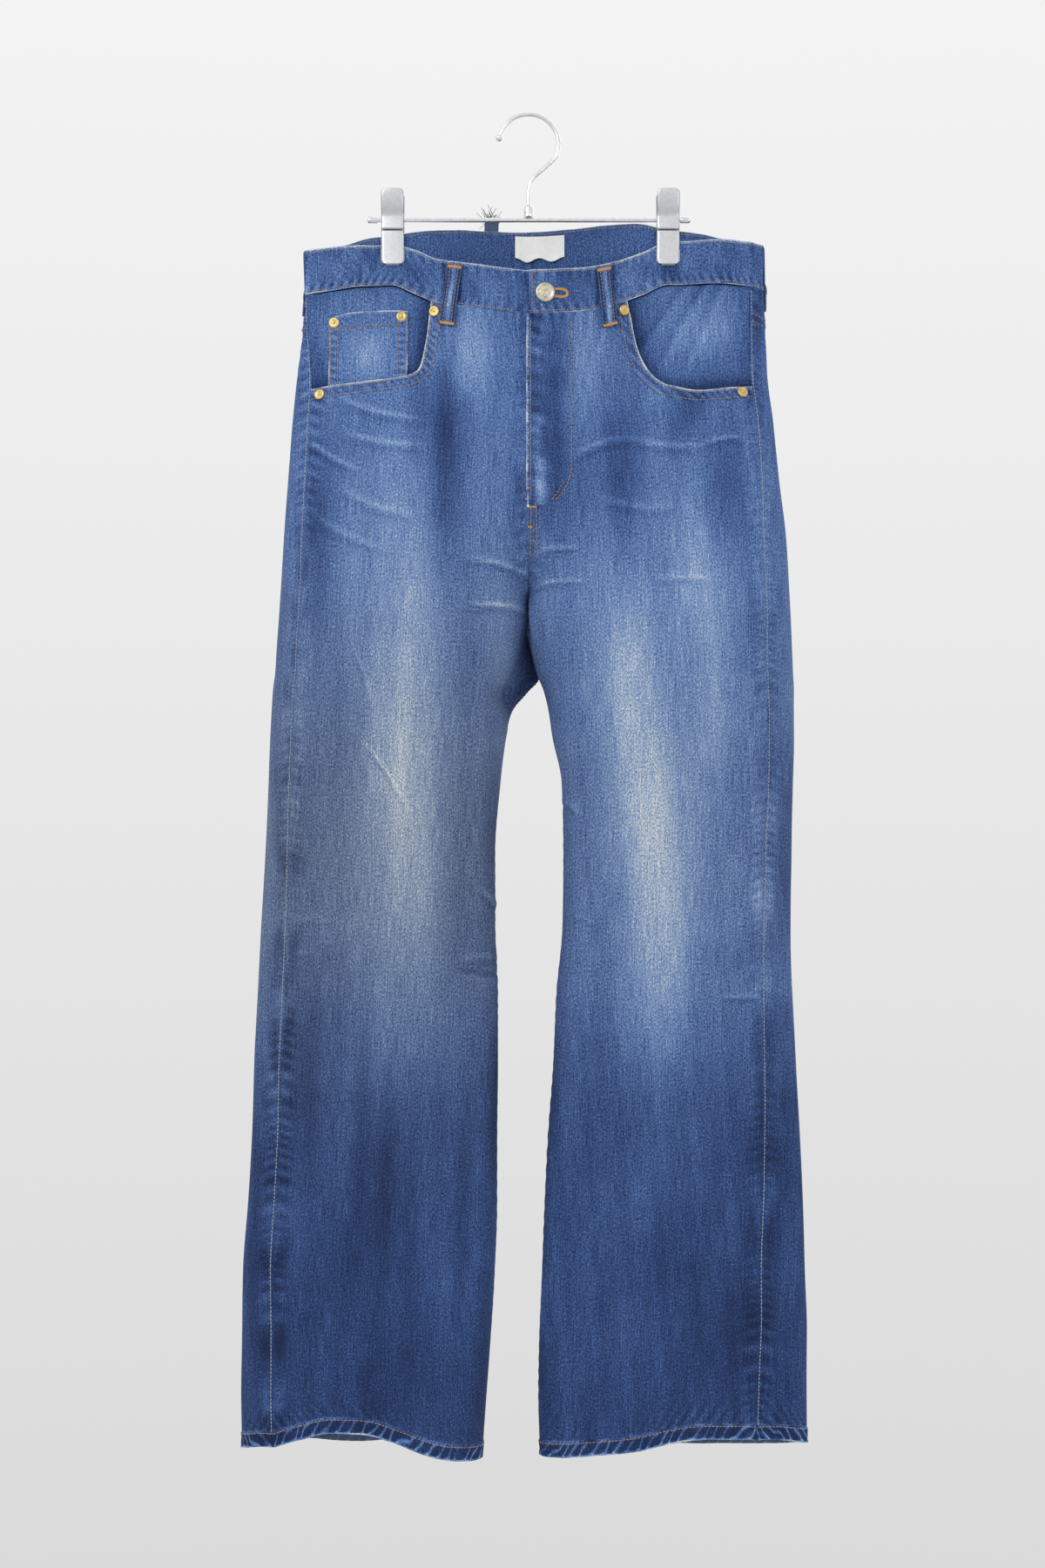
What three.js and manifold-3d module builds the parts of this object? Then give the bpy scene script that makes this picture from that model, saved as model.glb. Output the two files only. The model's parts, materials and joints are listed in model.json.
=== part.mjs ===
// Flared five-pocket jeans hanging by two pinch clips from a thin bar hanger.
// Millimetres, +Z up. The origin is the inside top of the hook. The front faces -Y.
// Right and left are the wearer's, so the right leg is at negative X.
// The cloth is one skin of rings, worked out from the tables below. Each sewn piece is a wall
// on a part of that skin, and what lies on a panel is made from the skin's points, moved out.
import * as THREE from "three";
import { mergeVertices } from "three/addons/utils/BufferGeometryUtils.js";
import Module from "manifold-3d";

const wasm = await Module();
wasm.setup();

// Cloth thicknesses and gaps
const WALL = 1.6;
const SEAM_GAP = 0.3;
const LAY_GAP = 0.4;
const POCKET_GAP = 0.85;
const BAND_OUT = 0.5;
const BAND_WALL = 2.4;
const BAND_HEIGHT = 39;
const HEM_DEPTH = 13;
const HEM_OUT = 0.6;
const HEM_IN = 0.6;

// Main heights, at the side folds
const WAIST_Z = -155;
const CROTCH_Z = -438;
const HEM_Z = -1180;

// Where the clips pinch the waistband, and how the cloth opens from there
const CLIP_X = 121.5;
const CLIP_HALF = 13.5;
const PINCH_HALF_DEPTH = 2.2;
const SEAM_HALF_DEPTH = 4.6;
const PINCH_RATE = 6;
const MIDDLE_FRONT_DEPTH = 30;
const MIDDLE_BACK_DEPTH = 35;
const SIDE_LOBE_DEPTH = 9;
const PINCH_FADE_Z = -350;

// Roundness of the sections
const HIP_POWER = 2.4;
const LEG_POWER = 2.3;
const INSEAM_ANGLE = 0.2;
const RING_STEPS = 220;

const RIGHT = -1;
const LEFT = 1;

// A table's rows as objects with the named columns.
function table(names, rows) {
  return rows.map((row) => Object.fromEntries(names.map((name, i) => [name, row[i]])));
}

// A smooth curve through two columns of a table, with no overshoot between the rows.
function curve(rows, inputName, outputName) {
  const points = rows.map((row) => [row[inputName], row[outputName]]);
  points.sort((a, b) => a[0] - b[0]);
  const last = points.length - 1;
  const chord = (i) => (points[i + 1][1] - points[i][1]) / (points[i + 1][0] - points[i][0]);
  const slope = (i) => {
    if (i === 0) return chord(0);
    if (i === last) return chord(last - 1);
    const before = chord(i - 1);
    const after = chord(i);
    return before * after <= 0 ? 0 : (2 * before * after) / (before + after);
  };
  const slopes = points.map((_, i) => slope(i));
  return (value) => {
    if (value <= points[0][0]) return points[0][1];
    if (value >= points[last][0]) return points[last][1];
    let i = 0;
    while (points[i + 1][0] < value) i += 1;
    const width = points[i + 1][0] - points[i][0];
    const t = (value - points[i][0]) / width;
    const rise = (3 - 2 * t) * t * t;
    const start = t * (1 - t) * (1 - t) * width * slopes[i];
    const end = t * t * (t - 1) * width * slopes[i + 1];
    return points[i][1] * (1 - rise) + points[i + 1][1] * rise + start + end;
  };
}

const mix = (a, b, t) => a + (b - a) * t;
const clamp01 = (t) => Math.min(1, Math.max(0, t));
const smooth = (t) => clamp01(t) ** 2 * (3 - 2 * clamp01(t));

// Sections, a row for each height: how far the outline reaches on each side, the depth of the
// front and the back, how far in front of the side fold the side seam runs, and how far back
// the legs' inner folds lie.
const SECTIONS = table(
  ["z", "rightOuter", "rightInner", "leftInner", "leftOuter", "rightFront", "rightBack",
    "leftFront", "leftBack", "rightSeam", "leftSeam", "innerBack"],
  [
    [-116, -199, 0, 0, 209, 28, 33, 28, 33, 3, 12, 0],
    [-155, -198, 0, 0, 208, 30, 35, 30, 35, 3, 13, 0],
    [-190, -200, 0, 0, 210, 38, 42, 38, 42, 6, 15, 0],
    [-230, -204, 0, 0, 212, 46, 49, 46, 49, 13, 17, 0],
    [-270, -208, 0, 0, 217, 53, 56, 53, 56, 16, 18, 0],
    [-320, -212, 0, 0, 222, 58, 61, 58, 61, 18, 20, 0],
    [-370, -216, -0.4, 0.4, 227, 60, 64, 60, 64, 20, 24, 0],
    [-438, -220, -0.4, 0.4, 231, 62, 64, 62, 64, 22, 26, 4],
    [-470, -222, 1.5, 3.4, 232, 62, 62, 62, 62, 22, 27, 10],
    [-492, -223, 1.5, 7, 233, 61, 60, 61, 60, 22, 28, 13],
    [-508, -225, -6, 13, 234, 60, 58, 60, 58, 22, 28, 13],
    [-527, -226, -14.5, 17.7, 234, 58, 56, 58, 56, 22, 27, 11],
    [-547, -227, -19.3, 20.8, 234, 56, 53, 56, 53, 22, 27, 8],
    [-590, -229, -24.6, 29.3, 233, 50, 48, 49, 47, 22, 26, 4],
    [-652, -233, -29.3, 30.8, 232, 42, 41, 41, 39, 24, 27, 0],
    [-714, -237, -29.3, 30, 232, 35, 35, 34, 33, 26, 28, 0],
    [-775, -240, -27, 24.6, 233, 31, 31, 30, 30, 26, 29, 0],
    [-837, -243, -27, 21.6, 236, 30, 31, 28, 28, 26, 31, 0],
    [-899, -245, -27.7, 16.9, 240, 31, 33, 27, 27, 27, 35, 0],
    [-960, -248, -27.7, 13.9, 243, 33, 35, 26, 26, 27, 39, 0],
    [-1022, -252, -30, 11.6, 245, 36, 38, 25, 26, 28, 43, 0],
    [-1083, -253, -33.9, 9.2, 247, 39, 41, 24, 25, 30, 45, 0],
    [-1130, -254, -37.3, 8.5, 247, 41, 43, 24, 24, 31, 47, 0],
    [-1180, -253, -40.8, 10, 247, 43, 44, 23, 24, 31, 48, 0],
  ],
);

// How far the torso's half ring has turned into a leg's closed ring at each height. The seat
// turns in more gently than the front.
const FORK = table(
  ["z", "front", "seat"],
  [[-290, 0, 0], [-340, 0.03, 0.1], [-375, 0.1, 0.28], [-405, 0.34, 0.56], [-438, 1, 1]],
);
// The legs' inner folds lean across each other, so no light passes between them.
const FORK_SLANT = 0.16;
const SLANT_TOP_Z = -340;
const SLANT_LOW_Z = -560;

// The waistband's lower and upper edges, front and back, across the garment.
const WAIST_EDGES = table(
  ["x", "frontSeam", "frontTop", "backSeam", "backTop"],
  [
    [-208, -158, -119, -158, -119],
    [-170, -156, -118, -152, -113],
    [-145, -151.5, -115.5, -147, -108],
    [-121, -150, -114, -144.5, -105.5],
    [-100, -158, -119, -141, -102],
    [-82, -166, -127, -138.5, -99.5],
    [-50, -172.5, -134, -135.5, -96.5],
    [0, -180, -142, -133.5, -94.5],
    [40, -177, -139, -133, -94],
    [70, -170, -132, -133, -94],
    [100, -159, -121, -134, -95],
    [124, -149.5, -111, -139.5, -100.5],
    [160, -150, -111, -142.5, -103.5],
    [185, -151, -112, -147, -108],
    [212, -152.5, -113.5, -152.5, -113.5],
  ],
);

// The hem's edge below the table's last section, front and back, from the outer fold (0)
// to the inner fold (1) of each leg.
const HEM_EDGES = table(
  ["across", "rightFront", "rightBack", "leftFront", "leftBack"],
  [
    [0, 0, 0, 4, 4],
    [0.12, 11, 2, 11, 3],
    [0.25, 22, 1, 17, 1],
    [0.38, 28, -1, 18, 0],
    [0.5, 26, -1, 15, 1],
    [0.65, 17, 0, 6, 1],
    [0.8, 6, 0, 1, 0],
    [1, -3, -3, -2, -2],
  ],
);
const WAIST_SAG_FADE = 320;
const HEM_ARCH_FADE = 420;

// The largest folds: soft vertical troughs (negative) and ridges (positive) in a face.
const FOLDS = table(
  ["side", "face", "topX", "topZ", "lowX", "lowZ", "width", "height"],
  [
    [RIGHT, "front", -78, -235, -68, -440, 22, -6],
    [RIGHT, "front", -128, -300, -100, -900, 30, 5],
    [RIGHT, "front", -60, -520, -48, -830, 18, -5],
    [RIGHT, "front", -128, -850, -132, -1400, 30, -9],
    [RIGHT, "front", -70, -900, -64, -1400, 24, 5],
    [RIGHT, "front", -205, -900, -212, -1400, 22, 5],
    [LEFT, "front", 126, -245, 150, -440, 20, -6],
    [LEFT, "front", 72, -330, 92, -900, 24, 5],
    [LEFT, "front", 150, -480, 134, -760, 20, -4],
    [LEFT, "front", 92, -860, 66, -1300, 24, -5],
    [LEFT, "front", 150, -900, 160, -1400, 30, 4],
    [LEFT, "front", 26, -960, 74, -1330, 12, -4],
    [RIGHT, "back", -26, -200, -40, -620, 20, -6],
    [RIGHT, "back", -128, -330, -150, -700, 26, -8],
    [RIGHT, "back", -74, -350, -84, -640, 22, -6],
    [RIGHT, "back", -100, -560, -120, -1050, 28, 6],
    [RIGHT, "back", -160, -760, -150, -1420, 26, -8],
    [RIGHT, "back", -90, -900, -84, -1420, 24, 5],
    [LEFT, "back", 24, -210, 44, -600, 20, -5],
    [LEFT, "back", 136, -330, 156, -700, 24, -8],
    [LEFT, "back", 82, -350, 78, -620, 22, -5],
    [LEFT, "back", 118, -600, 108, -1080, 28, 5],
    [LEFT, "back", 96, -860, 84, -1420, 22, -4],
    [LEFT, "back", 168, -900, 170, -1420, 24, 3],
  ],
);

const sectionCurves = {};
for (const name of Object.keys(SECTIONS[0])) {
  sectionCurves[name] = curve(SECTIONS, "z", name);
}
const forkCurve = curve(FORK, "z", "front");
const seatCurve = curve(FORK, "z", "seat");
const waistCurves = {};
for (const name of Object.keys(WAIST_EDGES[0])) {
  waistCurves[name] = curve(WAIST_EDGES, "x", name);
}
const hemCurves = {};
for (const name of Object.keys(HEM_EDGES[0])) {
  hemCurves[name] = curve(HEM_EDGES, "across", name);
}

// The right or left side's value of a section column.
function section(side, name, z) {
  const key = (side === RIGHT ? "right" : "left") + name;
  return sectionCurves[key](z);
}

// A fold's height at a point: a soft bell across it, dying out at its two ends.
function foldHeight(side, face, x, z) {
  let total = 0;
  for (const fold of FOLDS) {
    if (fold.side !== side || fold.face !== face) continue;
    const along = (z - fold.topZ) / (fold.lowZ - fold.topZ);
    if (along <= 0 || along >= 1) continue;
    const across = (x - mix(fold.topX, fold.lowX, along)) / fold.width;
    total += fold.height * Math.exp(-across * across) * Math.sin(Math.PI * along) ** 1.2;
  }
  return total;
}

const powerCos = (angle, power) => {
  const c = Math.cos(angle);
  return Math.sign(c) * Math.abs(c) ** (2 / power);
};
const powerSin = (angle, power) => {
  const s = Math.sin(angle);
  return Math.sign(s) * Math.abs(s) ** (2 / power);
};

// Half depth of the clipped waist at a distance from the middle: a wide middle lobe, a pinch
// under the clip and a narrow side lobe that closes in a round fold.
function clippedDepth(distance, reach, middleDepth, pinchDepth) {
  const nearEdge = CLIP_X - CLIP_HALF;
  if (distance < CLIP_X) {
    const opening = Math.cos((Math.PI * Math.min(distance, nearEdge)) / (2 * nearEdge)) ** 2;
    return pinchDepth + (middleDepth - pinchDepth) * opening;
  }
  const farEdge = CLIP_X + CLIP_HALF;
  const p = clamp01((distance - farEdge) / (reach - farEdge));
  const lobe = SIDE_LOBE_DEPTH * Math.sin(Math.PI * p ** 0.85) ** 2;
  const round = Math.sqrt(Math.max(0, 1 - p * p * p));
  return (pinchDepth + 4 * p) * round + lobe * 0.8;
}

// The torso's half ring at a height, from the centre front round the side to the centre back.
function torsoRing(side, z) {
  const reach = Math.abs(section(side, "Outer", z));
  const frontDepth = section(side, "Front", z);
  const backDepth = section(side, "Back", z);
  const clipped = smooth((z - PINCH_FADE_Z) / (WAIST_Z - PINCH_FADE_Z));
  const nearBand = clamp01((z - WAIST_Z) / BAND_HEIGHT);
  const pinch = mix(SEAM_HALF_DEPTH, PINCH_HALF_DEPTH, Math.min(1, nearBand * PINCH_RATE));
  const ring = [];
  for (let i = 0; i <= RING_STEPS; i += 1) {
    const angle = Math.PI / 2 - (Math.PI * i) / RING_STEPS;
    const distance = reach * Math.max(0, powerCos(angle, HIP_POWER));
    const front = angle > 0;
    const full = (front ? frontDepth : backDepth) * Math.abs(powerSin(angle, HIP_POWER));
    const middle = front ? MIDDLE_FRONT_DEPTH : MIDDLE_BACK_DEPTH;
    const pinched = clippedDepth(distance, reach, middle, pinch);
    const depth = mix(full, pinched, clipped);
    ring.push({ x: side * distance, y: front ? -depth : depth, front });
  }
  return ring;
}

// A leg's closed ring at a height, from the inseam round the front, side and back.
function legRing(side, z) {
  const outer = section(side, "Outer", z);
  const inner = section(side, "Inner", z);
  const middle = (outer + inner) / 2;
  const reach = Math.abs(outer - inner) / 2;
  const frontDepth = section(side, "Front", z);
  const backDepth = section(side, "Back", z);
  const lean = sectionCurves.innerBack(z);
  const slantShare = clamp01((z - SLANT_TOP_Z) / (SLANT_LOW_Z - SLANT_TOP_Z));
  const slant = FORK_SLANT * Math.sin(Math.PI * slantShare) ** 2;
  const ring = [];
  for (let i = 0; i <= RING_STEPS; i += 1) {
    const angle = Math.PI + INSEAM_ANGLE - (2 * Math.PI * i) / RING_STEPS;
    const c = powerCos(angle, LEG_POWER);
    const s = powerSin(angle, LEG_POWER);
    const nearInner = ((1 - c) / 2) ** 3;
    const y = (s > 0 ? -frontDepth * s : -backDepth * s) + lean * nearInner;
    const x = middle + side * reach * c + slant * y * nearInner;
    ring.push({ x, y, front: s > 0 });
  }
  return ring;
}

// Points evenly spaced along a stretch of a ring.
function evenly(ring, from, to, count) {
  const lengths = [0];
  for (let i = 1; i < ring.length; i += 1) {
    const step = Math.hypot(ring[i].x - ring[i - 1].x, ring[i].y - ring[i - 1].y);
    lengths.push(lengths[i - 1] + step);
  }
  const at = (index) => {
    const low = Math.min(ring.length - 2, Math.floor(index));
    return mix(lengths[low], lengths[low + 1], index - low);
  };
  const start = at(from);
  const end = at(to);
  const points = [];
  let i = 0;
  for (let k = 0; k <= count; k += 1) {
    const want = mix(start, end, k / count);
    while (i < ring.length - 2 && lengths[i + 1] < want) i += 1;
    const t = (want - lengths[i]) / (lengths[i + 1] - lengths[i] || 1);
    points.push({ x: mix(ring[i].x, ring[i + 1].x, t), y: mix(ring[i].y, ring[i + 1].y, t) });
  }
  return points;
}

// The place on a ring, as a fractional index, where the side seam runs.
function seamIndex(side, ring, z) {
  const seamX = section(side, "Outer", z) - side * section(side, "Seam", z);
  for (let i = 1; i < ring.length; i += 1) {
    if (!ring[i].front || side * (ring[i].x - seamX) < 0) continue;
    const t = (seamX - ring[i - 1].x) / (ring[i].x - ring[i - 1].x);
    if (t >= 0 && t <= 1) return i - 1 + t;
  }
  return ring.length / 2;
}

const PANEL_SAMPLES = 60;
const ringMemory = new Map();

// Both faces of one side at a height: the front from the centre or inseam to the side seam,
// and the back from the side seam to the centre or inseam.
function faces(side, z) {
  const key = side + "," + z.toFixed(2);
  if (ringMemory.has(key)) return ringMemory.get(key);
  const torso = torsoRing(side, z);
  const leg = legRing(side, z);
  const torsoSeam = seamIndex(side, torso, z);
  const legSeam = seamIndex(side, leg, z);
  const end = RING_STEPS;
  const both = (from, to) => ({
    torso: evenly(torso, from ? torsoSeam : 0, to ? torsoSeam : end, PANEL_SAMPLES),
    leg: evenly(leg, from ? legSeam : 0, to ? legSeam : end, PANEL_SAMPLES),
  });
  const blend = ({ torso: a, leg: b }, face) => {
    const outward = face === "front" ? -1 : 1;
    return a.map((point, i) => {
      const seat = face === "back" ? smooth((2 * i) / PANEL_SAMPLES) : 0;
      const turned = mix(forkCurve(z), seatCurve(z), seat);
      const x = mix(point.x, b[i].x, turned);
      const y = mix(point.y, b[i].y, turned);
      const edge = Math.sin((Math.PI * i) / PANEL_SAMPLES) ** 0.7;
      return { x, y: y + outward * edge * foldHeight(side, face, x, z) };
    });
  };
  const made = {
    front: blend(both(false, true), "front"),
    back: blend(both(true, false), "back"),
  };
  for (const name of ["front", "back"]) {
    made[name] = evenly(made[name], 0, PANEL_SAMPLES, PANEL_SAMPLES);
    let length = 0;
    for (let i = 1; i <= PANEL_SAMPLES; i += 1) {
      const [p, q] = [made[name][i - 1], made[name][i]];
      length += Math.hypot(q.x - p.x, q.y - p.y);
    }
    made[name + "Length"] = length;
  }
  ringMemory.set(key, made);
  return made;
}

// An edge's height on a face. The back's curve is eased onto the front's at the side seam.
const EASE_SHARE = 0.3;

function edgeHeight(frontCurve, backCurve, face, q, at, seamAt) {
  if (face === "front") return frontCurve(at);
  const step = frontCurve(seamAt) - backCurve(seamAt);
  return backCurve(at) + step * smooth(1 - q / EASE_SHARE);
}

// A point of the skin: q runs along a face's ring from 0 to 1, and z is the section's height.
// The real height follows the waist seam's sag and the hem's arch. Above the waist seam it
// follows the waistband up to its top edge.
function skin(side, face, q, z) {
  const ring = faces(side, Math.min(z, WAIST_Z + BAND_HEIGHT));
  const place = clamp01(q) * PANEL_SAMPLES;
  const i = Math.min(PANEL_SAMPLES - 1, Math.floor(place));
  const x = mix(ring[face][i].x, ring[face][i + 1].x, place - i);
  const y = mix(ring[face][i].y, ring[face][i + 1].y, place - i);
  const waist = faces(side, WAIST_Z);
  const waistX = mix(waist[face][i].x, waist[face][i + 1].x, place - i);
  const waistEdge = (name) => edgeHeight(
    waistCurves["front" + name], waistCurves["back" + name], face, q, waistX,
    waist.front[PANEL_SAMPLES].x,
  );
  const seam = waistEdge("Seam");
  if (z > WAIST_Z) {
    return new THREE.Vector3(x, y, mix(seam, waistEdge("Top"), (z - WAIST_Z) / BAND_HEIGHT));
  }
  const sag = (seam - WAIST_Z) * (1 - smooth((WAIST_Z - z) / WAIST_SAG_FADE));
  const outer = section(side, "Outer", z);
  const inner = section(side, "Inner", z);
  const share = (reach) => clamp01((reach - outer) / (inner - outer));
  const sideName = side === RIGHT ? "right" : "left";
  const edge = edgeHeight(
    hemCurves[sideName + "Front"], hemCurves[sideName + "Back"], face, q, share(x),
    share(ring.front[PANEL_SAMPLES].x),
  );
  const arch = edge * smooth(1 - (z - HEM_Z) / HEM_ARCH_FADE);
  return new THREE.Vector3(x, y, z + sag + arch);
}

// The skin's outward direction, the same for the two pieces that meet at a seam.
function outward(side, face, q, height) {
  const stepQ = 0.012;
  const stepZ = 2;
  const z = Math.abs(height - WAIST_Z) < 1 ? WAIST_Z : height;
  const far = (step) => {
    const along = q + step;
    if (along >= 0 && along <= 1) return skin(side, face, along, z);
    if (face === "front" && along > 1) return skin(side, "back", along - 1, z);
    if (face === "back" && along < 0) return skin(side, "front", 1 + along, z);
    if (z > CROTCH_Z) {
      const edge = skin(side, face, q, z);
      const inside = skin(side, face, q - step, z);
      const mirrored = edge.clone().multiplyScalar(2).sub(inside);
      const turned = forkCurve(z);
      mirrored.y = mix(inside.y, mirrored.y, turned);
      return mirrored;
    }
    return skin(side, face === "front" ? "back" : "front", face === "front" ? 1 + along : along - 1, z);
  };
  const alongRing = far(stepQ).sub(far(-stepQ));
  const down = skin(side, face, q, z - stepZ).sub(skin(side, face, q, z + stepZ));
  return alongRing.cross(down).multiplyScalar(-side).normalize();
}

// The skin's point moved out by lift, kept on its own side of the centre seam.
function lifted(side, face, q, z, lift) {
  const point = skin(side, face, q, z).addScaledVector(outward(side, face, q, z), lift);
  if (z > CROTCH_Z && point.x * side < SEAM_GAP / 2) point.x = (side * SEAM_GAP) / 2;
  return point;
}

// The share of a face's ring that half a seam gap takes.
const trim = (side, face, z) => SEAM_GAP / 2 / faces(side, z)[face + "Length"];

// A closed wall between an outer and an inner grid of points, with its faces pointing out.
function wallGeometry(outer, inner) {
  const rows = outer.length;
  const columns = outer[0].length;
  const positions = [];
  for (const grid of [outer, inner]) {
    for (const row of grid) {
      for (const point of row) positions.push(point.x, point.y, point.z);
    }
  }
  const at = (layer, r, c) => (layer * rows + r) * columns + c;
  const index = [];
  const quad = (a, b, c, d) => index.push(a, b, c, a, c, d);
  for (let r = 0; r < rows - 1; r += 1) {
    for (let c = 0; c < columns - 1; c += 1) {
      quad(at(0, r, c), at(0, r + 1, c), at(0, r + 1, c + 1), at(0, r, c + 1));
      quad(at(1, r, c), at(1, r, c + 1), at(1, r + 1, c + 1), at(1, r + 1, c));
    }
  }
  for (let r = 0; r < rows - 1; r += 1) {
    const end = columns - 1;
    quad(at(0, r, 0), at(1, r, 0), at(1, r + 1, 0), at(0, r + 1, 0));
    quad(at(0, r, end), at(0, r + 1, end), at(1, r + 1, end), at(1, r, end));
  }
  for (let c = 0; c < columns - 1; c += 1) {
    const end = rows - 1;
    quad(at(0, 0, c), at(0, 0, c + 1), at(1, 0, c + 1), at(1, 0, c));
    quad(at(0, end, c), at(1, end, c), at(1, end, c + 1), at(0, end, c + 1));
  }
  const geometry = new THREE.BufferGeometry();
  geometry.setAttribute("position", new THREE.Float32BufferAttribute(positions, 3));
  geometry.setIndex(index);
  return facingOut(geometry);
}

// The geometry with its triangles turned so that it encloses a positive volume.
function facingOut(geometry) {
  const p = geometry.getAttribute("position");
  const index = geometry.getIndex().array;
  const [a, b, c] = [new THREE.Vector3(), new THREE.Vector3(), new THREE.Vector3()];
  let volume = 0;
  for (let i = 0; i < index.length; i += 3) {
    a.fromBufferAttribute(p, index[i]);
    b.fromBufferAttribute(p, index[i + 1]);
    c.fromBufferAttribute(p, index[i + 2]);
    volume += a.dot(b.cross(c)) / 6;
  }
  if (volume < 0) {
    const flipped = [];
    for (let i = 0; i < index.length; i += 3) {
      flipped.push(index[i], index[i + 2], index[i + 1]);
    }
    geometry.setIndex(flipped);
  }
  return geometry;
}

// Rows and columns of a function of two parameters from 0 to 1.
function grid(rows, columns, place) {
  const made = [];
  for (let r = 0; r <= rows; r += 1) {
    const row = [];
    for (let c = 0; c <= columns; c += 1) row.push(place(r / rows, c / columns));
    made.push(row);
  }
  return made;
}

// A wall on the skin. place gives face, q and z for a row and a column, and a lift for the
// outer and the inner side where they aren't the same all over.
function skinWall(side, rows, columns, place, outLift, inLift) {
  const points = (lift, key) => grid(rows, columns, (r, c) => {
    const spot = place(r, c);
    const extra = spot[key] ?? 0;
    return lifted(spot.side ?? side, spot.face, spot.q, spot.z, lift + extra);
  });
  return wallGeometry(points(outLift, "out"), points(inLift, "in"));
}

// Solid cuts and joins
function toSolid(geometry) {
  const bare = geometry.clone();
  bare.deleteAttribute("normal");
  bare.deleteAttribute("uv");
  const merged = mergeVertices(bare, 1e-4);
  return new wasm.Manifold(new wasm.Mesh({
    numProp: 3,
    vertProperties: merged.getAttribute("position").array,
    triVerts: new Uint32Array(merged.getIndex().array),
  }));
}

function fromSolid(solid) {
  const mesh = solid.getMesh();
  const geometry = new THREE.BufferGeometry();
  geometry.setAttribute("position", new THREE.BufferAttribute(mesh.vertProperties, 3));
  geometry.setIndex(new THREE.BufferAttribute(mesh.triVerts, 1));
  return geometry;
}

// Materials
const finish = (color, roughness, metalness) =>
  new THREE.MeshStandardMaterial({ color, roughness, metalness, side: THREE.DoubleSide });
const denim = finish(0x5a7fa6, 0.92, 0);
const pocketDenim = finish(0x7f9fc0, 0.92, 0);
const labelCloth = finish(0xf1f0ec, 0.85, 0);
const copper = finish(0x9a7350, 0.45, 0.9);
const buttonMetal = finish(0xa9a59b, 0.4, 0.9);
const chrome = finish(0xd4d6d8, 0.18, 1);
const clipMetal = finish(0xc9cbcc, 0.35, 0.9);

const group = new THREE.Group();
group.name = "flared_jeans_on_clip_hanger";

function add(name, geometry, material) {
  const mesh = new THREE.Mesh(geometry, material);
  mesh.name = name;
  group.add(mesh);
}

const SIDES = [
  { side: RIGHT, name: "right" },
  { side: LEFT, name: "left" },
];

// The place on a face (q and z) that lies behind a point seen from the front.
function locate(side, face, x, height) {
  let z = height;
  let q = 0.5;
  for (let pass = 0; pass < 4; pass += 1) {
    let low = face === "front" ? 0 : 1;
    let high = face === "front" ? 1 : 0;
    for (let i = 0; i < 24; i += 1) {
      q = (low + high) / 2;
      if (side * (skin(side, face, q, z).x - x) < 0) low = q;
      else high = q;
    }
    const seamZ = skin(side, face, q, WAIST_Z).z;
    if (height > seamZ) {
      const topZ = skin(side, face, q, WAIST_Z + BAND_HEIGHT).z;
      z = WAIST_Z + (BAND_HEIGHT * (height - seamZ)) / (topZ - seamZ);
    } else {
      z = Math.min(WAIST_Z, z + height - skin(side, face, q, z).z);
    }
  }
  return { face, q, z };
}

const PANEL_COLUMNS = 16;
// The rows above this one are spread evenly below the panel's own top edge.
const TOP_ROWS = 5;

// Row heights of a panel, closer together where the legs part and at the hem.
const PANEL_ROWS = table(
  ["from", "to", "steps"],
  [
    [-155.15, -370, 6],
    [-370, -530, 8],
    [-530, -1166.7, 12],
    [-1166.7, -1167, 1],
    [-1167, -1180, 1],
  ],
);

function panelHeights() {
  const heights = [PANEL_ROWS[0].from];
  for (const { from, to, steps } of PANEL_ROWS) {
    for (let i = 1; i <= steps; i += 1) heights.push(mix(from, to, i / steps));
  }
  return heights;
}

// A panel from a top edge to the hem, thicker where the hem is turned up.
function panelGeometry(side, face, columns, topOf) {
  const heights = panelHeights();
  const rows = heights.length - 1;
  const place = (r, c) => {
    const row = Math.round(r * rows);
    const gap = trim(side, face, heights[row]);
    const q = mix(gap, 1 - gap, c);
    const top = topOf(q);
    const z = row < TOP_ROWS ? mix(top, heights[TOP_ROWS], row / TOP_ROWS) : heights[row];
    const hem = z < HEM_Z + HEM_DEPTH + SEAM_GAP / 2;
    return { face, q, z, out: hem ? HEM_OUT : 0, in: hem ? -HEM_IN : 0 };
  };
  return skinWall(side, rows, columns, place, 0, -WALL);
}

// The scooped pocket mouths, each a curve from the waist seam to the side seam
const SCOOP_POINTS = {
  right: [[-85, -150], [-87, -176], [-91, -205], [-96, -226], [-108, -233], [-143, -238],
    [-185, -243], [-225, -247]],
  left: [[84, -150], [90, -180], [96, -208], [106, -229], [122, -241], [150, -246],
    [189, -242], [225, -238]],
};

// A block through the front that has the pocket mouth's outline, shrunk by inset.
function scoopBlock(name, inset) {
  const points = SCOOP_POINTS[name].map(([x, z]) => new THREE.Vector2(x, z));
  const path = new THREE.SplineCurve(points);
  const away = name === "right" ? 1 : -1;
  const shape = new THREE.Shape();
  const edge = path.getPoints(26).map((point, i, all) => {
    const before = all[Math.max(0, i - 1)];
    const after = all[Math.min(all.length - 1, i + 1)];
    const run = after.clone().sub(before).normalize();
    return new THREE.Vector2(point.x + away * run.y * inset, point.y - away * run.x * inset);
  });
  shape.moveTo(edge[0].x, edge[0].y);
  edge.slice(1).forEach((point) => shape.lineTo(point.x, point.y));
  const farX = edge[edge.length - 1].x;
  shape.lineTo(farX, -100);
  shape.lineTo(edge[0].x, -100);
  const block = new THREE.ExtrudeGeometry(shape, { depth: 300, bevelEnabled: false });
  block.rotateX(Math.PI / 2);
  block.translate(0, 150, 0);
  return toSolid(block);
}

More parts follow.
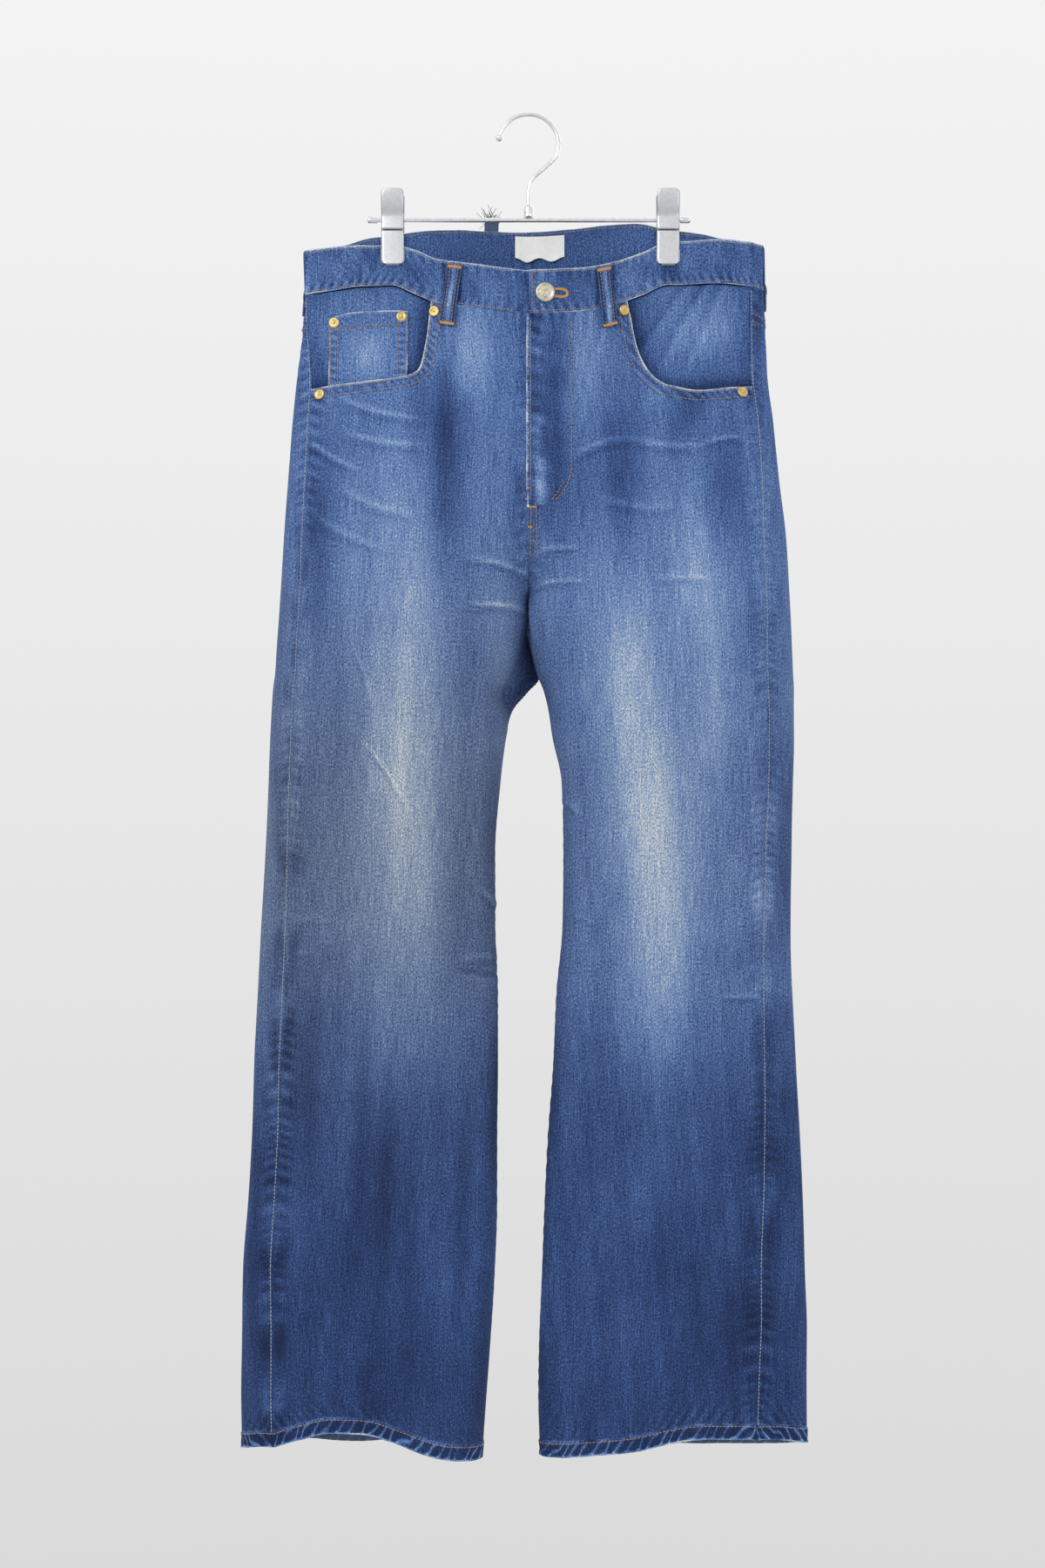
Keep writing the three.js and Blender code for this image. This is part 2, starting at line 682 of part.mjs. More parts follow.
function addFronts() {
  for (const { side, name } of SIDES) {
    const top = () => WAIST_Z - SEAM_GAP / 2;
    const whole = panelGeometry(side, "front", PANEL_COLUMNS, top);
    const cut = toSolid(whole).subtract(scoopBlock(name, 0));
    add("front_" + name, fromSolid(cut), denim);
  }
}

// The yoke seam drops from the side seam to the centre back.
const YOKE_SIDE_DROP = 32;
const YOKE_CENTRE_DROP = 76;
const yokeSeam = (q) => WAIST_Z - mix(YOKE_SIDE_DROP, YOKE_CENTRE_DROP, q);

function addBacks() {
  for (const { side, name } of SIDES) {
    const top = (q) => yokeSeam(q) - SEAM_GAP / 2;
    add("back_" + name, panelGeometry(side, "back", PANEL_COLUMNS, top), denim);
    const place = (r, c) => {
      const gap = trim(side, "back", WAIST_Z);
      const q = mix(gap, 1 - gap, c);
      const low = yokeSeam(q) + SEAM_GAP / 2;
      return { face: "back", q, z: mix(WAIST_Z - SEAM_GAP / 2, low, r) };
    };
    add("yoke_" + name, skinWall(side, 3, PANEL_COLUMNS, place, 0, -WALL), denim);
  }
}

// Pocket facings lie one wall and a gap inside the fronts, behind the pocket mouths.
const FACING_WALL = 1.2;
const FACING_LIFT = -(WALL + POCKET_GAP);
const FACING_SIDE_GAP = 4;
const FACING_TOP_GAP = 1.2;
const FACING_INNER_X = 70;
const FACING_LOW_Z = -262;
const COIN_WALL = 1.1;
const COIN_FACE = FACING_LIFT + LAY_GAP + COIN_WALL;
const COIN = { outerX: -176, innerX: -106.5, outerTop: -180.4, innerTop: -173, arch: 3, lowZ: -250 };

function addPockets() {
  for (const { side, name } of SIDES) {
    const place = (r, c) => {
      const z = mix(WAIST_Z - FACING_TOP_GAP, FACING_LOW_Z, r);
      const inner = locate(side, "front", side * FACING_INNER_X, z - 10).q;
      const outer = 1 - FACING_SIDE_GAP / faces(side, z).frontLength;
      return { face: "front", q: mix(inner, outer, c), z };
    };
    const geometry = skinWall(side, 6, 12, place, FACING_LIFT, FACING_LIFT - FACING_WALL);
    add("pocket_facing_" + name, geometry, pocketDenim);
  }
  const coinPlace = (r, c) => {
    const x = mix(COIN.innerX, COIN.outerX, c);
    const top = mix(COIN.innerTop, COIN.outerTop, c) + COIN.arch * Math.sin(Math.PI * c);
    return locate(RIGHT, "front", x, mix(top, COIN.lowZ, r));
  };
  const lift = FACING_LIFT + LAY_GAP;
  const whole = toSolid(skinWall(RIGHT, 5, 8, coinPlace, lift + COIN_WALL, lift));
  add("coin_pocket", fromSolid(whole.intersect(scoopBlock("right", 1))), pocketDenim);
}

// Patch pockets on the back, with a pointed lower edge.
const POCKET = { topWidth: 152, lowWidth: 126, height: 140, point: 18, wall: 1.2 };
const BACK_POCKETS = [
  { side: RIGHT, name: "right", x: -113, topZ: -206, tilt: 3 },
  { side: LEFT, name: "left", x: 118, topZ: -203, tilt: -3 },
];

function addBackPockets() {
  for (const { side, name, x, topZ, tilt } of BACK_POCKETS) {
    const place = (r, c) => {
      const across = c - 0.5;
      const width = mix(POCKET.topWidth, POCKET.lowWidth, r);
      const point = POCKET.point * (1 - 2 * Math.abs(across));
      const height = topZ + tilt * 2 * across - r * (POCKET.height + point);
      return locate(side, "back", x + across * width, height);
    };
    const geometry = skinWall(side, 7, 14, place, POCKET_GAP + POCKET.wall, POCKET_GAP);
    add("back_pocket_" + name, geometry, denim);
  }
}

// The waistband is one strip: its over end lies on the wearer's left at the centre front, and
// its under end dips behind it.
const OVER_END_X = 0.2;
const UNDER_END_LENGTH = 30;
const UNDER_LIFT = -(BAND_WALL + LAY_GAP);
const DIP_LENGTH = 12;

function addWaistband() {
  const leftFront = faces(LEFT, WAIST_Z).frontLength;
  const rightFront = faces(RIGHT, WAIST_Z).frontLength;
  const stations = [];
  const run = (side, face, from, to, steps) => {
    for (let i = 0; i < steps; i += 1) {
      stations.push({ side, face, q: mix(from, to, i / steps), dip: 0 });
    }
  };
  run(LEFT, "front", OVER_END_X / leftFront, 1, PANEL_COLUMNS);
  run(LEFT, "back", 0, 1, PANEL_COLUMNS);
  run(RIGHT, "back", 1, 0, PANEL_COLUMNS);
  run(RIGHT, "front", 1, 2 / PANEL_COLUMNS, PANEL_COLUMNS - 2);
  for (const along of [DIP_LENGTH + 4, 4, 0.2]) {
    stations.push({ side: RIGHT, face: "front", q: along / rightFront, dip: along > 5 ? 0 : 1 });
  }
  for (const along of [10, 20, UNDER_END_LENGTH]) {
    stations.push({ side: LEFT, face: "front", q: along / leftFront, dip: 1 });
  }
  const rows = 3;
  const make = (lift) => grid(rows, stations.length - 1, (r, c) => {
    const { side, face, q, dip } = stations[Math.round(c * (stations.length - 1))];
    const z = mix(WAIST_Z + BAND_HEIGHT, WAIST_Z + SEAM_GAP / 2, r);
    const point = skin(side, face, q, z);
    point.addScaledVector(outward(side, face, q, z), lift + dip * UNDER_LIFT);
    return point;
  });
  add("waistband", wallGeometry(make(BAND_OUT), make(BAND_OUT - BAND_WALL)), denim);
}

// The fly flap lies on the left front from the centre edge to the curved stitching.
const FLY = { width: 35, straightZ: -306, lowZ: -352, tip: 4, overlap: 1.6, wall: 1 };

function addFly() {
  const widthAt = (height) => {
    const turn = clamp01((FLY.straightZ - height) / (FLY.straightZ - FLY.lowZ));
    return mix(FLY.tip, FLY.width, Math.sqrt(1 - turn * turn));
  };
  const topZ = waistCurves.frontSeam(0) - 4;
  const make = (lift) => grid(14, 4, (r, c) => {
    const height = mix(topZ, FLY.lowZ, r);
    const x = mix(-FLY.overlap, widthAt(height), c);
    const spot = locate(LEFT, "front", Math.max(0.3, x), height);
    const point = lifted(LEFT, "front", spot.q, spot.z, lift);
    if (c === 0) point.x = x;
    return point;
  });
  add("fly", wallGeometry(make(POCKET_GAP + FLY.wall), make(POCKET_GAP)), denim);
}

// Belt loops stand over the waistband and are tacked above and below it.
// Their places are measured along the face, from the centre or from the side seam.
const LOOP = { width: 13, wall: 1.6, stand: 1.4, under: 19 };
const LOOPS = [
  { name: "front_right", side: RIGHT, face: "front", top: 66, low: 74, over: -3, foot: 1.1 },
  { name: "front_left", side: LEFT, face: "front", top: 67, low: 74, over: -3, foot: 1.1 },
  { name: "side_right", side: RIGHT, face: "back", fromSide: 1, top: 12, low: 13, over: -1, foot: 0.8 },
  { name: "side_left", side: LEFT, face: "back", fromSide: 1, top: 21, low: 23, over: -1, foot: 0.8 },
  { name: "back_right", side: RIGHT, face: "back", top: 33, low: 35, over: 13, foot: 0.75 },
  { name: "back_left", side: LEFT, face: "back", top: 25, low: 27, over: -1, foot: 0.75 },
];
const LOOP_STEP_Z = WAIST_Z - 4;

function addLoops() {
  for (const { name, side, face, fromSide, top, low, over, foot } of LOOPS) {
    const from = WAIST_Z + BAND_HEIGHT + over;
    const to = WAIST_Z - LOOP.under;
    const footLift = (z) => (z > LOOP_STEP_Z ? BAND_OUT : 0) + foot;
    const make = (lift) => grid(7, 2, (r, c) => {
      const z = mix(from, to, r);
      const level = Math.min(z, WAIST_Z + BAND_HEIGHT);
      const along = mix(top, low, r) + (c - 0.5) * LOOP.width;
      const share = along / faces(side, WAIST_Z)[face + "Length"];
      const q = face === "back" && !fromSide ? 1 - share : share;
      const stand = LOOP.stand * Math.sin(Math.PI * clamp01(r)) ** 0.6;
      const point = lifted(side, face, q, level, footLift(z) + stand + lift);
      point.z += z - level;
      return point;
    });
    add("loop_" + name, wallGeometry(make(LOOP.wall), make(0)), denim);
  }
}

// Rivets and the button are turned on a lathe and set along the skin's outward direction.
const RIVET_RADIUS = 4.6;
const RIVET_HEIGHT = 1.7;
const BUTTON_RADIUS = 8.5;
const BUTTON_HEIGHT = 3.2;
const RIVETS = [
  { name: "rivet_mouth_right_top", side: RIGHT, x: -83, z: -174, lift: 0.7 },
  { name: "rivet_mouth_right_low", side: RIGHT, x: -183, z: -249, lift: 0 },
  { name: "rivet_coin_outer", side: RIGHT, x: -171, z: -185, lift: COIN_FACE },
  { name: "rivet_coin_inner", side: RIGHT, x: -112, z: -178, lift: COIN_FACE },
  { name: "rivet_mouth_left_top", side: LEFT, x: 84, z: -173, lift: 0.9 },
  { name: "rivet_mouth_left_low", side: LEFT, x: 187, z: -247, lift: 0 },
];

function turned(profile, segments) {
  const points = profile.map(([radius, height]) => new THREE.Vector2(radius, height));
  return toSolid(new THREE.LatheGeometry(points, segments));
}

function domed(radius, height) {
  const rim = 0.35 * height;
  return turned([[0, 0], [radius, 0], [radius, rim], [0.78 * radius, 0.8 * height],
    [0.45 * radius, 0.72 * height], [0.2 * radius, height], [0, height]], 14);
}

// Places a lathe shape, whose axis is Y, on a spot of the skin.
function onSkin(solid, side, face, spot, lift) {
  const geometry = fromSolid(solid);
  const direction = outward(side, face, spot.q, spot.z);
  const turn = new THREE.Quaternion().setFromUnitVectors(new THREE.Vector3(0, 1, 0), direction);
  const place = skin(side, face, spot.q, spot.z).addScaledVector(direction, lift);
  geometry.applyMatrix4(new THREE.Matrix4().compose(place, turn, new THREE.Vector3(1, 1, 1)));
  return geometry;
}

function addFastenings() {
  const rivet = domed(RIVET_RADIUS, RIVET_HEIGHT);
  for (const { name, side, x, z, lift } of RIVETS) {
    const spot = locate(side, "front", x, z);
    add(name, onSkin(rivet, side, "front", spot, lift + POCKET_GAP), copper);
  }
  const button = domed(BUTTON_RADIUS, BUTTON_HEIGHT);
  const spot = locate(LEFT, "front", 14, -162);
  add("waist_button", onSkin(button, LEFT, "front", spot, BAND_OUT + POCKET_GAP), buttonMetal);
}

// A small label sewn inside the back of the waistband.
const LABEL = { x: 10, width: 44, topZ: -98.5, lowZ: -120, wave: 1.6, wall: 0.7 };

function addLabel() {
  const make = (lift) => grid(3, 6, (r, c) => {
    const x = LABEL.x + (c - 0.5) * LABEL.width;
    const side = x < 0 ? RIGHT : LEFT;
    const low = LABEL.lowZ + LABEL.wave * Math.cos(4 * Math.PI * c);
    const spot = locate(side, "back", Math.abs(x) < 0.3 ? side * 0.3 : x, mix(LABEL.topZ, low, r));
    const point = skin(side, "back", spot.q, spot.z);
    return point.addScaledVector(outward(side, "back", spot.q, spot.z), lift);
  });
  const lift = BAND_OUT - BAND_WALL - SEAM_GAP - 0.1;
  add("label", wallGeometry(make(lift), make(lift - LABEL.wall)), labelCloth);
}

// The hanger: a thin bar, a hook of round wire, a ferrule between them and two pinch clips
const BAR = { z: -91.6, radius: 2, tipRadius: 3, tipLength: 9, fromX: -142.5, toX: 143.2 };
const WIRE_RADIUS = 1.9;
const HOOK_RADIUS = 26.4;
const HOOK_TIP_ANGLE = 168;
const FERRULE = { radius: 4.2, length: 10 };

function addHanger() {
  const { z, radius, tipRadius, tipLength, fromX, toX } = BAR;
  const length = toX - fromX;
  const profile = [[0, 0], [tipRadius - 0.6, 0], [tipRadius, 0.8], [tipRadius, tipLength],
    [radius, tipLength], [radius, length - tipLength], [tipRadius, length - tipLength],
    [tipRadius, length - 0.8], [tipRadius - 0.6, length], [0, length]];
  const bar = fromSolid(turned(profile, 12));
  bar.rotateZ(-Math.PI / 2);
  bar.translate(fromX, 0, z);
  add("hanger_bar", bar, chrome);

  const stemTop = z + tipRadius + FERRULE.length;
  const centre = new THREE.Vector3(0, 0, WIRE_RADIUS - HOOK_RADIUS);
  const points = [];
  for (let angle = HOOK_TIP_ANGLE; angle >= 0; angle -= 12) {
    const turn = THREE.MathUtils.degToRad(angle);
    points.push(new THREE.Vector3(
      centre.x + HOOK_RADIUS * Math.cos(turn), 0, centre.z + HOOK_RADIUS * Math.sin(turn),
    ));
  }
  points.push(new THREE.Vector3(24, 0, centre.z - 11));
  points.push(new THREE.Vector3(13, 0, centre.z - 22));
  points.push(new THREE.Vector3(3, 0, centre.z - 31));
  points.push(new THREE.Vector3(0, 0, centre.z - 42));
  points.push(new THREE.Vector3(0, 0, stemTop + SEAM_GAP));
  const path = new THREE.CatmullRomCurve3(points, false, "centripetal");
  const round = new THREE.Shape().absarc(0, 0, WIRE_RADIUS, 0, 2 * Math.PI);
  const options = { steps: 36, extrudePath: path, curveSegments: 4, bevelEnabled: false };
  add("hanger_hook", fromSolid(toSolid(new THREE.ExtrudeGeometry(round, options))), chrome);

  const low = z + radius + SEAM_GAP;
  const tall = stemTop - low;
  const ferrule = fromSolid(turned([[0, 0], [FERRULE.radius - 0.6, 0], [FERRULE.radius, 0.8],
    [FERRULE.radius, tall - 2], [FERRULE.radius - 1.6, tall], [0, tall]], 14));
  ferrule.rotateX(Math.PI / 2);
  ferrule.translate(0, 0, low);
  add("hanger_ferrule", ferrule, chrome);
}

// A clip's jaw is a bent plate. A row for each height: how far the plate's inner face stands
// from the cloth's middle plane, and half its width.
const JAW_WALL = 1.5;
const JAW_GRIP_Z = -98;
const BACK_JAW_SHARE = 0.83;
const JAW = table(
  ["z", "stand", "half"],
  [
    [-65.5, 8.6, 8], [-67.5, 8.5, 9.6], [-72, 8, 10], [-82, 5.6, 10], [-88.5, 2.5, 10],
    [-94.5, 2.6, 10], [-98, 3.4, 10], [-112, 3.4, 10], [-118, 3.3, 10], [-129, 3.3, 9.6],
    [-131.5, 4, 8],
  ],
);
const CLIPS = [
  { name: "clip_right", x: -120.1 },
  { name: "clip_left", x: 123.2 },
];

function addClips() {
  for (const { name, x } of CLIPS) {
    for (const [face, towards] of [["front", -1], ["back", 1]]) {
      const make = (extra) => grid(JAW.length - 1, 2, (r, c) => {
        const row = JAW[Math.round(r * (JAW.length - 1))];
        const y = towards * (row.stand + extra);
        const grip = Math.min(0, row.z - JAW_GRIP_Z);
        const z = face === "back" ? row.z - grip * (1 - BACK_JAW_SHARE) : row.z;
        return new THREE.Vector3(x + (2 * c - 1) * row.half, y, z);
      });
      add(name + "_" + face, wallGeometry(make(JAW_WALL), make(0)), clipMetal);
    }
  }
}

addFronts();
addBacks();
addPockets();
addBackPockets();
addWaistband();
addFly();
addLoops();
addFastenings();
addLabel();
addHanger();
addClips();

export default group;
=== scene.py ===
# %% [markdown]
# # Flared jeans on a clip hanger
# The frame is a set of plain solids that another step has packed. This script lays fine cloth
# over them, sews it, and turns the metal parts. Everything is worked out in millimetres and
# written to the meshes in metres. +Z is up, the front faces -Y, and right and left are the
# wearer's, so the right leg lies at negative X. The origin is the inside top of the hook.

import json
import math

import bpy
import numpy as np
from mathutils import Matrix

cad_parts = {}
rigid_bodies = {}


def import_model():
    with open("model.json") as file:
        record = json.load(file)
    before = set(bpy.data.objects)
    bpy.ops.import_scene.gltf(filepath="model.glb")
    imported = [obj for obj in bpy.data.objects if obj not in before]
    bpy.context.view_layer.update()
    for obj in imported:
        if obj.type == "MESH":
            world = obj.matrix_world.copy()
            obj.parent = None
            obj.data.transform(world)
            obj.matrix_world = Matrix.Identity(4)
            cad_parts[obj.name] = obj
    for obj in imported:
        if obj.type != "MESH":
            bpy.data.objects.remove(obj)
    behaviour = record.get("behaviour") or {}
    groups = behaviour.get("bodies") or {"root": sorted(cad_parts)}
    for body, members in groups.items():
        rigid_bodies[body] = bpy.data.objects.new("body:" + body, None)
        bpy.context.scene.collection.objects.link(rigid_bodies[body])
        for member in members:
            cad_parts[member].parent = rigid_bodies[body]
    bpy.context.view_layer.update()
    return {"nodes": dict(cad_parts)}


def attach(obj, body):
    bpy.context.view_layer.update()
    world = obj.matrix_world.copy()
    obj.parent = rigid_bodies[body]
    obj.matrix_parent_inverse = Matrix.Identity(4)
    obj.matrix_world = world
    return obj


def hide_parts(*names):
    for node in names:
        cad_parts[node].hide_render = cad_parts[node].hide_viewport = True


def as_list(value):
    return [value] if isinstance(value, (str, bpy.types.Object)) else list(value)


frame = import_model()
MM = 0.001
print("frame:", len(frame["nodes"]), "nodes")

# %% [markdown]
# ## Camera, floor and light
# The camera looks straight at the front. One pixel of the photograph is PIXEL millimetres at
# the garment's middle, so its distance and lens follow from the frame's height.

# %% Camera, floor and light
PIXEL = 0.77
PHOTO_HEIGHT = 1800
CAMERA_PLACE = (-0.0054, -2.0, -0.590)
SENSOR = 36.0
FLOOR_Z = -1.62
FLOOR_RADIUS = 0.9
PALE = (0.80, 0.80, 0.81)
# The pale world is a little brighter above than below: from these two heights of a look
# direction to these two brightnesses.
WORLD_SHADE = (-0.33, 0.33, 0.70, 0.90)


def add_object(name, data):
    """A new object that shows the data, in the scene's own collection."""
    made = bpy.data.objects.new(name, data)
    bpy.context.scene.collection.objects.link(made)
    return made


def make_camera():
    """The photograph's camera. Its lens is sensor height * distance / height of the view."""
    data = bpy.data.cameras.new("camera")
    data.sensor_fit = "VERTICAL"
    data.sensor_height = SENSOR
    data.lens = SENSOR * -CAMERA_PLACE[1] / (PHOTO_HEIGHT * PIXEL * MM)
    made = add_object("camera", data)
    made.location = CAMERA_PLACE
    made.rotation_euler = (math.pi / 2, 0, 0)
    bpy.context.scene.camera = made


def make_light(name, place, target, size, power):
    """A square area light of that size and power that looks from its place at a target."""
    data = bpy.data.lights.new(name, "AREA")
    data.size = size
    data.energy = power
    made = add_object(name, data)
    made.location = place
    away = np.array(place) - np.array(target)
    flat = math.hypot(away[0], away[1])
    made.rotation_euler = (math.atan2(flat, away[2]), 0, math.atan2(away[0], -away[1]))


def make_stage():
    """A pale world, a pale round floor far below the hem, and three soft lights."""
    world = bpy.data.worlds.new("studio")
    world.use_nodes = True
    tree = world.node_tree
    place = tree.nodes.new("ShaderNodeTexCoord")
    axes = tree.nodes.new("ShaderNodeSeparateXYZ")
    shade = tree.nodes.new("ShaderNodeMapRange")
    for name, value in zip(("From Min", "From Max", "To Min", "To Max"), WORLD_SHADE):
        shade.inputs[name].default_value = value
    tree.links.new(place.outputs["Generated"], axes.inputs["Vector"])
    tree.links.new(axes.outputs["Z"], shade.inputs["Value"])
    tree.links.new(shade.outputs["Result"], tree.nodes["Background"].inputs["Color"])
    bpy.context.scene.world = world
    bpy.context.scene.view_settings.view_transform = "Standard"

    corner = np.linspace(0, 2 * math.pi, 96, endpoint=False)
    rim = np.stack([np.cos(corner), np.sin(corner), 0 * corner], axis=1) * FLOOR_RADIUS
    mesh = bpy.data.meshes.new("floor")
    mesh.from_pydata(rim.tolist(), [], [list(range(len(rim)))])
    floor = add_object("floor", mesh)
    floor.location = (0, 0, FLOOR_Z)
    paint = bpy.data.materials.new("floor_paint")
    paint.use_nodes = True
    shader = paint.node_tree.nodes["Principled BSDF"]
    shader.inputs["Base Color"].default_value = (*PALE, 1)
    shader.inputs["Roughness"].default_value = 0.8
    mesh.materials.append(paint)

    middle = (0, 0, -0.6)
    make_light("key", (-1.6, -2.2, 0.9), middle, 1.6, 26)
    make_light("fill", (1.9, -2.0, -0.3), middle, 1.8, 8)
    make_light("rim", (0.6, 2.2, 0.8), middle, 1.6, 16)


make_camera()
make_stage()
print("camera lens:", round(bpy.context.scene.camera.data.lens, 1), "mm")

# %% [markdown]
# ## The sizes
# The garment's own sizes, the same that the solids were cut to. SECTIONS has a row for each
# height: how far the outline reaches, how deep the front and the back are, and where the side
# seam and the legs' inner folds run. The other tables shape the waist, the hem and the folds.

# %% Sizes
WALL = 1.3
BAND_OUT = 0.5
BAND_WALL = 2.4
BAND_HEIGHT = 39
HEM_DEPTH = 13
WAIST_Z = -155
CROTCH_Z = -438
FORK_LOW_Z = -500
HEM_Z = -1180
CLIP_X = 121.5
CLIP_HALF = 13.5
PINCH_HALF_DEPTH = 2.2
SEAM_HALF_DEPTH = 4.6
PINCH_RATE = 6
MIDDLE_FRONT_DEPTH = 30
MIDDLE_BACK_DEPTH = 35
SIDE_LOBE_DEPTH = 9
SIDE_LOBE_SKEW = 0.85
SIDE_LOBE_SHARE = 0.8
SIDE_FOLD_OPEN = 4
PINCH_FADE_Z = -350
HIP_POWER = 2.4
LEG_POWER = 2.3
INSEAM_ANGLE = 0.2
FORK_SLANT = 0.16
SLANT_TOP_Z = -340
SLANT_LOW_Z = -560
WAIST_SAG_FADE = 320
HEM_ARCH_FADE = 420
EASE_SHARE = 0.3
RIGHT = -1
LEFT = 1
SIDES = ((RIGHT, "right"), (LEFT, "left"))


def columns(names, rows):
    """A table's columns by name, each one an array."""
    return dict(zip(names.split(), np.array(rows, dtype=float).T))


def by_face(names, groups):
    """A table in groups, one for a side and face, whose rows are named values."""
    names = names.split()
    return {key: [dict(zip(names, row)) for row in rows] for key, rows in groups.items()}


SECTIONS = columns(
    "z right_outer right_inner left_inner left_outer right_front right_back left_front "
    "left_back right_seam left_seam inner_back",
    [
        [-116, -199, 0, 0, 209, 28, 33, 28, 33, 3, 12, 0],
        [-155, -198, 0, 0, 208, 30, 35, 30, 35, 3, 13, 0],
        [-190, -200, 0, 0, 210, 38, 42, 38, 42, 6, 15, 0],
        [-230, -204, 0, 0, 212, 46, 49, 46, 49, 13, 17, 0],
        [-270, -208, 0, 0, 217, 53, 56, 53, 56, 16, 18, 0],
        [-320, -212, 0, 0, 222, 58, 61, 58, 61, 18, 20, 0],
        [-370, -216, -0.4, 0.4, 227, 60, 64, 60, 64, 20, 24, 0],
        [-438, -220, -0.4, 0.4, 231, 62, 64, 62, 64, 22, 26, 4],
        [-470, -222, 1.5, 3.4, 232, 62, 62, 62, 62, 22, 27, 10],
        [-492, -223, 1.5, 7, 233, 61, 60, 61, 60, 22, 28, 13],
        [-508, -225, -6, 13, 234, 60, 58, 60, 58, 22, 28, 13],
        [-527, -226, -14.5, 17.7, 234, 58, 56, 58, 56, 22, 27, 11],
        [-547, -227, -19.3, 20.8, 234, 56, 53, 56, 53, 22, 27, 8],
        [-590, -229, -24.6, 29.3, 233, 50, 48, 49, 47, 22, 26, 4],
        [-652, -233, -29.3, 30.8, 232, 42, 41, 41, 39, 24, 27, 0],
        [-714, -237, -29.3, 30, 232, 35, 35, 34, 33, 26, 28, 0],
        [-775, -240, -27, 24.6, 233, 31, 31, 30, 30, 26, 29, 0],
        [-837, -243, -27, 21.6, 236, 30, 31, 28, 28, 26, 31, 0],
        [-899, -245, -27.7, 16.9, 240, 31, 33, 27, 27, 27, 35, 0],
        [-960, -248, -27.7, 13.9, 243, 33, 35, 26, 26, 27, 39, 0],
        [-1022, -252, -30, 11.6, 245, 36, 38, 25, 26, 28, 43, 0],
        [-1083, -253, -33.9, 9.2, 247, 39, 41, 24, 25, 30, 45, 0],
        [-1130, -254, -37.3, 8.5, 247, 41, 43, 24, 24, 31, 47, 0],
        [-1180, -253, -40.8, 10, 247, 43, 44, 23, 24, 31, 48, 0],
    ],
)
FORK = columns(
    "z front seat",
    [[-290, 0, 0], [-340, 0.03, 0.1], [-375, 0.1, 0.28], [-405, 0.34, 0.56], [-438, 1, 1]],
)
CLOSE = {"z": -422, "tall": 52, RIGHT: 2.4, LEFT: 6.5}
SEAT = columns(
    "z reach pull",
    [
        [-380, 0, 0], [-436, 3, 0], [-460, 5, 6], [-480, 7, 12], [-498, 8.5, 18], [-510, 5, 16],
        [-524, 1, 6], [-542, 0, 0],
    ],
)
WAIST_EDGES = columns(
    "x front_seam front_top back_seam back_top",
    [
        [-208, -158, -119, -158, -119],
        [-170, -156, -118, -152, -113],
        [-145, -151.5, -115.5, -147, -108],
        [-121, -150, -114, -144.5, -105.5],
        [-100, -158, -119, -141, -102],
        [-82, -166, -127, -138.5, -99.5],
        [-50, -172.5, -134, -135.5, -96.5],
        [0, -180, -142, -133.5, -94.5],
        [40, -177, -139, -133, -94],
        [70, -170, -132, -133, -94],
        [100, -159, -121, -134, -95],
        [124, -149.5, -111, -139.5, -100.5],
        [160, -150, -111, -142.5, -103.5],
        [185, -151, -112, -147, -108],
        [212, -152.5, -113.5, -152.5, -113.5],
    ],
)
HEM_EDGES = columns(
    "across right_front right_back left_front left_back",
    [
        [0, 0, 0, 4, 4],
        [0.12, 11, 2, 11, 3],
        [0.25, 22, 1, 17, 1],
        [0.38, 28, -1, 18, 0],
        [0.5, 26, -1, 15, 1],
        [0.65, 17, 0, 6, 1],
        [0.8, 6, 0, 1, 0],
        [1, -3, -3, -2, -2],
    ],
)
FRONT = 0
BACK = 1
FACE_NAMES = ("front", "back")
FOLDS = by_face(
    "top_x top_z low_x low_z width height",
    {
        (RIGHT, FRONT): [
            [-78, -235, -68, -440, 22, -6],
            [-128, -300, -100, -900, 30, 5],
            [-60, -520, -48, -830, 18, -5],
            [-128, -850, -132, -1400, 30, -9],
            [-70, -900, -64, -1400, 24, 5],
            [-205, -900, -212, -1400, 22, 5],
        ],
        (LEFT, FRONT): [
            [126, -245, 150, -440, 20, -6],
            [72, -330, 92, -900, 24, 5],
            [150, -480, 134, -760, 20, -4],
            [92, -860, 66, -1300, 24, -5],
            [150, -900, 160, -1400, 30, 4],
            [26, -960, 74, -1330, 12, -4],
        ],
        (RIGHT, BACK): [
            [-26, -200, -40, -620, 20, -6],
            [-128, -330, -150, -700, 26, -8],
            [-74, -350, -84, -640, 22, -6],
            [-100, -560, -120, -1050, 28, 6],
            [-160, -760, -150, -1420, 26, -8],
            [-90, -900, -84, -1420, 24, 5],
        ],
        (LEFT, BACK): [
            [24, -210, 44, -600, 20, -5],
            [136, -330, 156, -700, 24, -8],
            [82, -350, 78, -620, 22, -5],
            [118, -600, 108, -1080, 28, 5],
            [96, -860, 84, -1420, 22, -4],
            [168, -900, 170, -1420, 24, 3],
        ],
    },
)
print("sections:", len(SECTIONS["z"]), "folds:", sum(len(rows) for rows in FOLDS.values()))

# %% [markdown]
# ## The skin
# The whole garment is one skin of rings. Above the crotch a ring runs from the centre front
# round the side to the centre back, and below it each leg has a closed ring. The rings are
# worked out once for close heights and kept as a map, which is then read by interpolation.

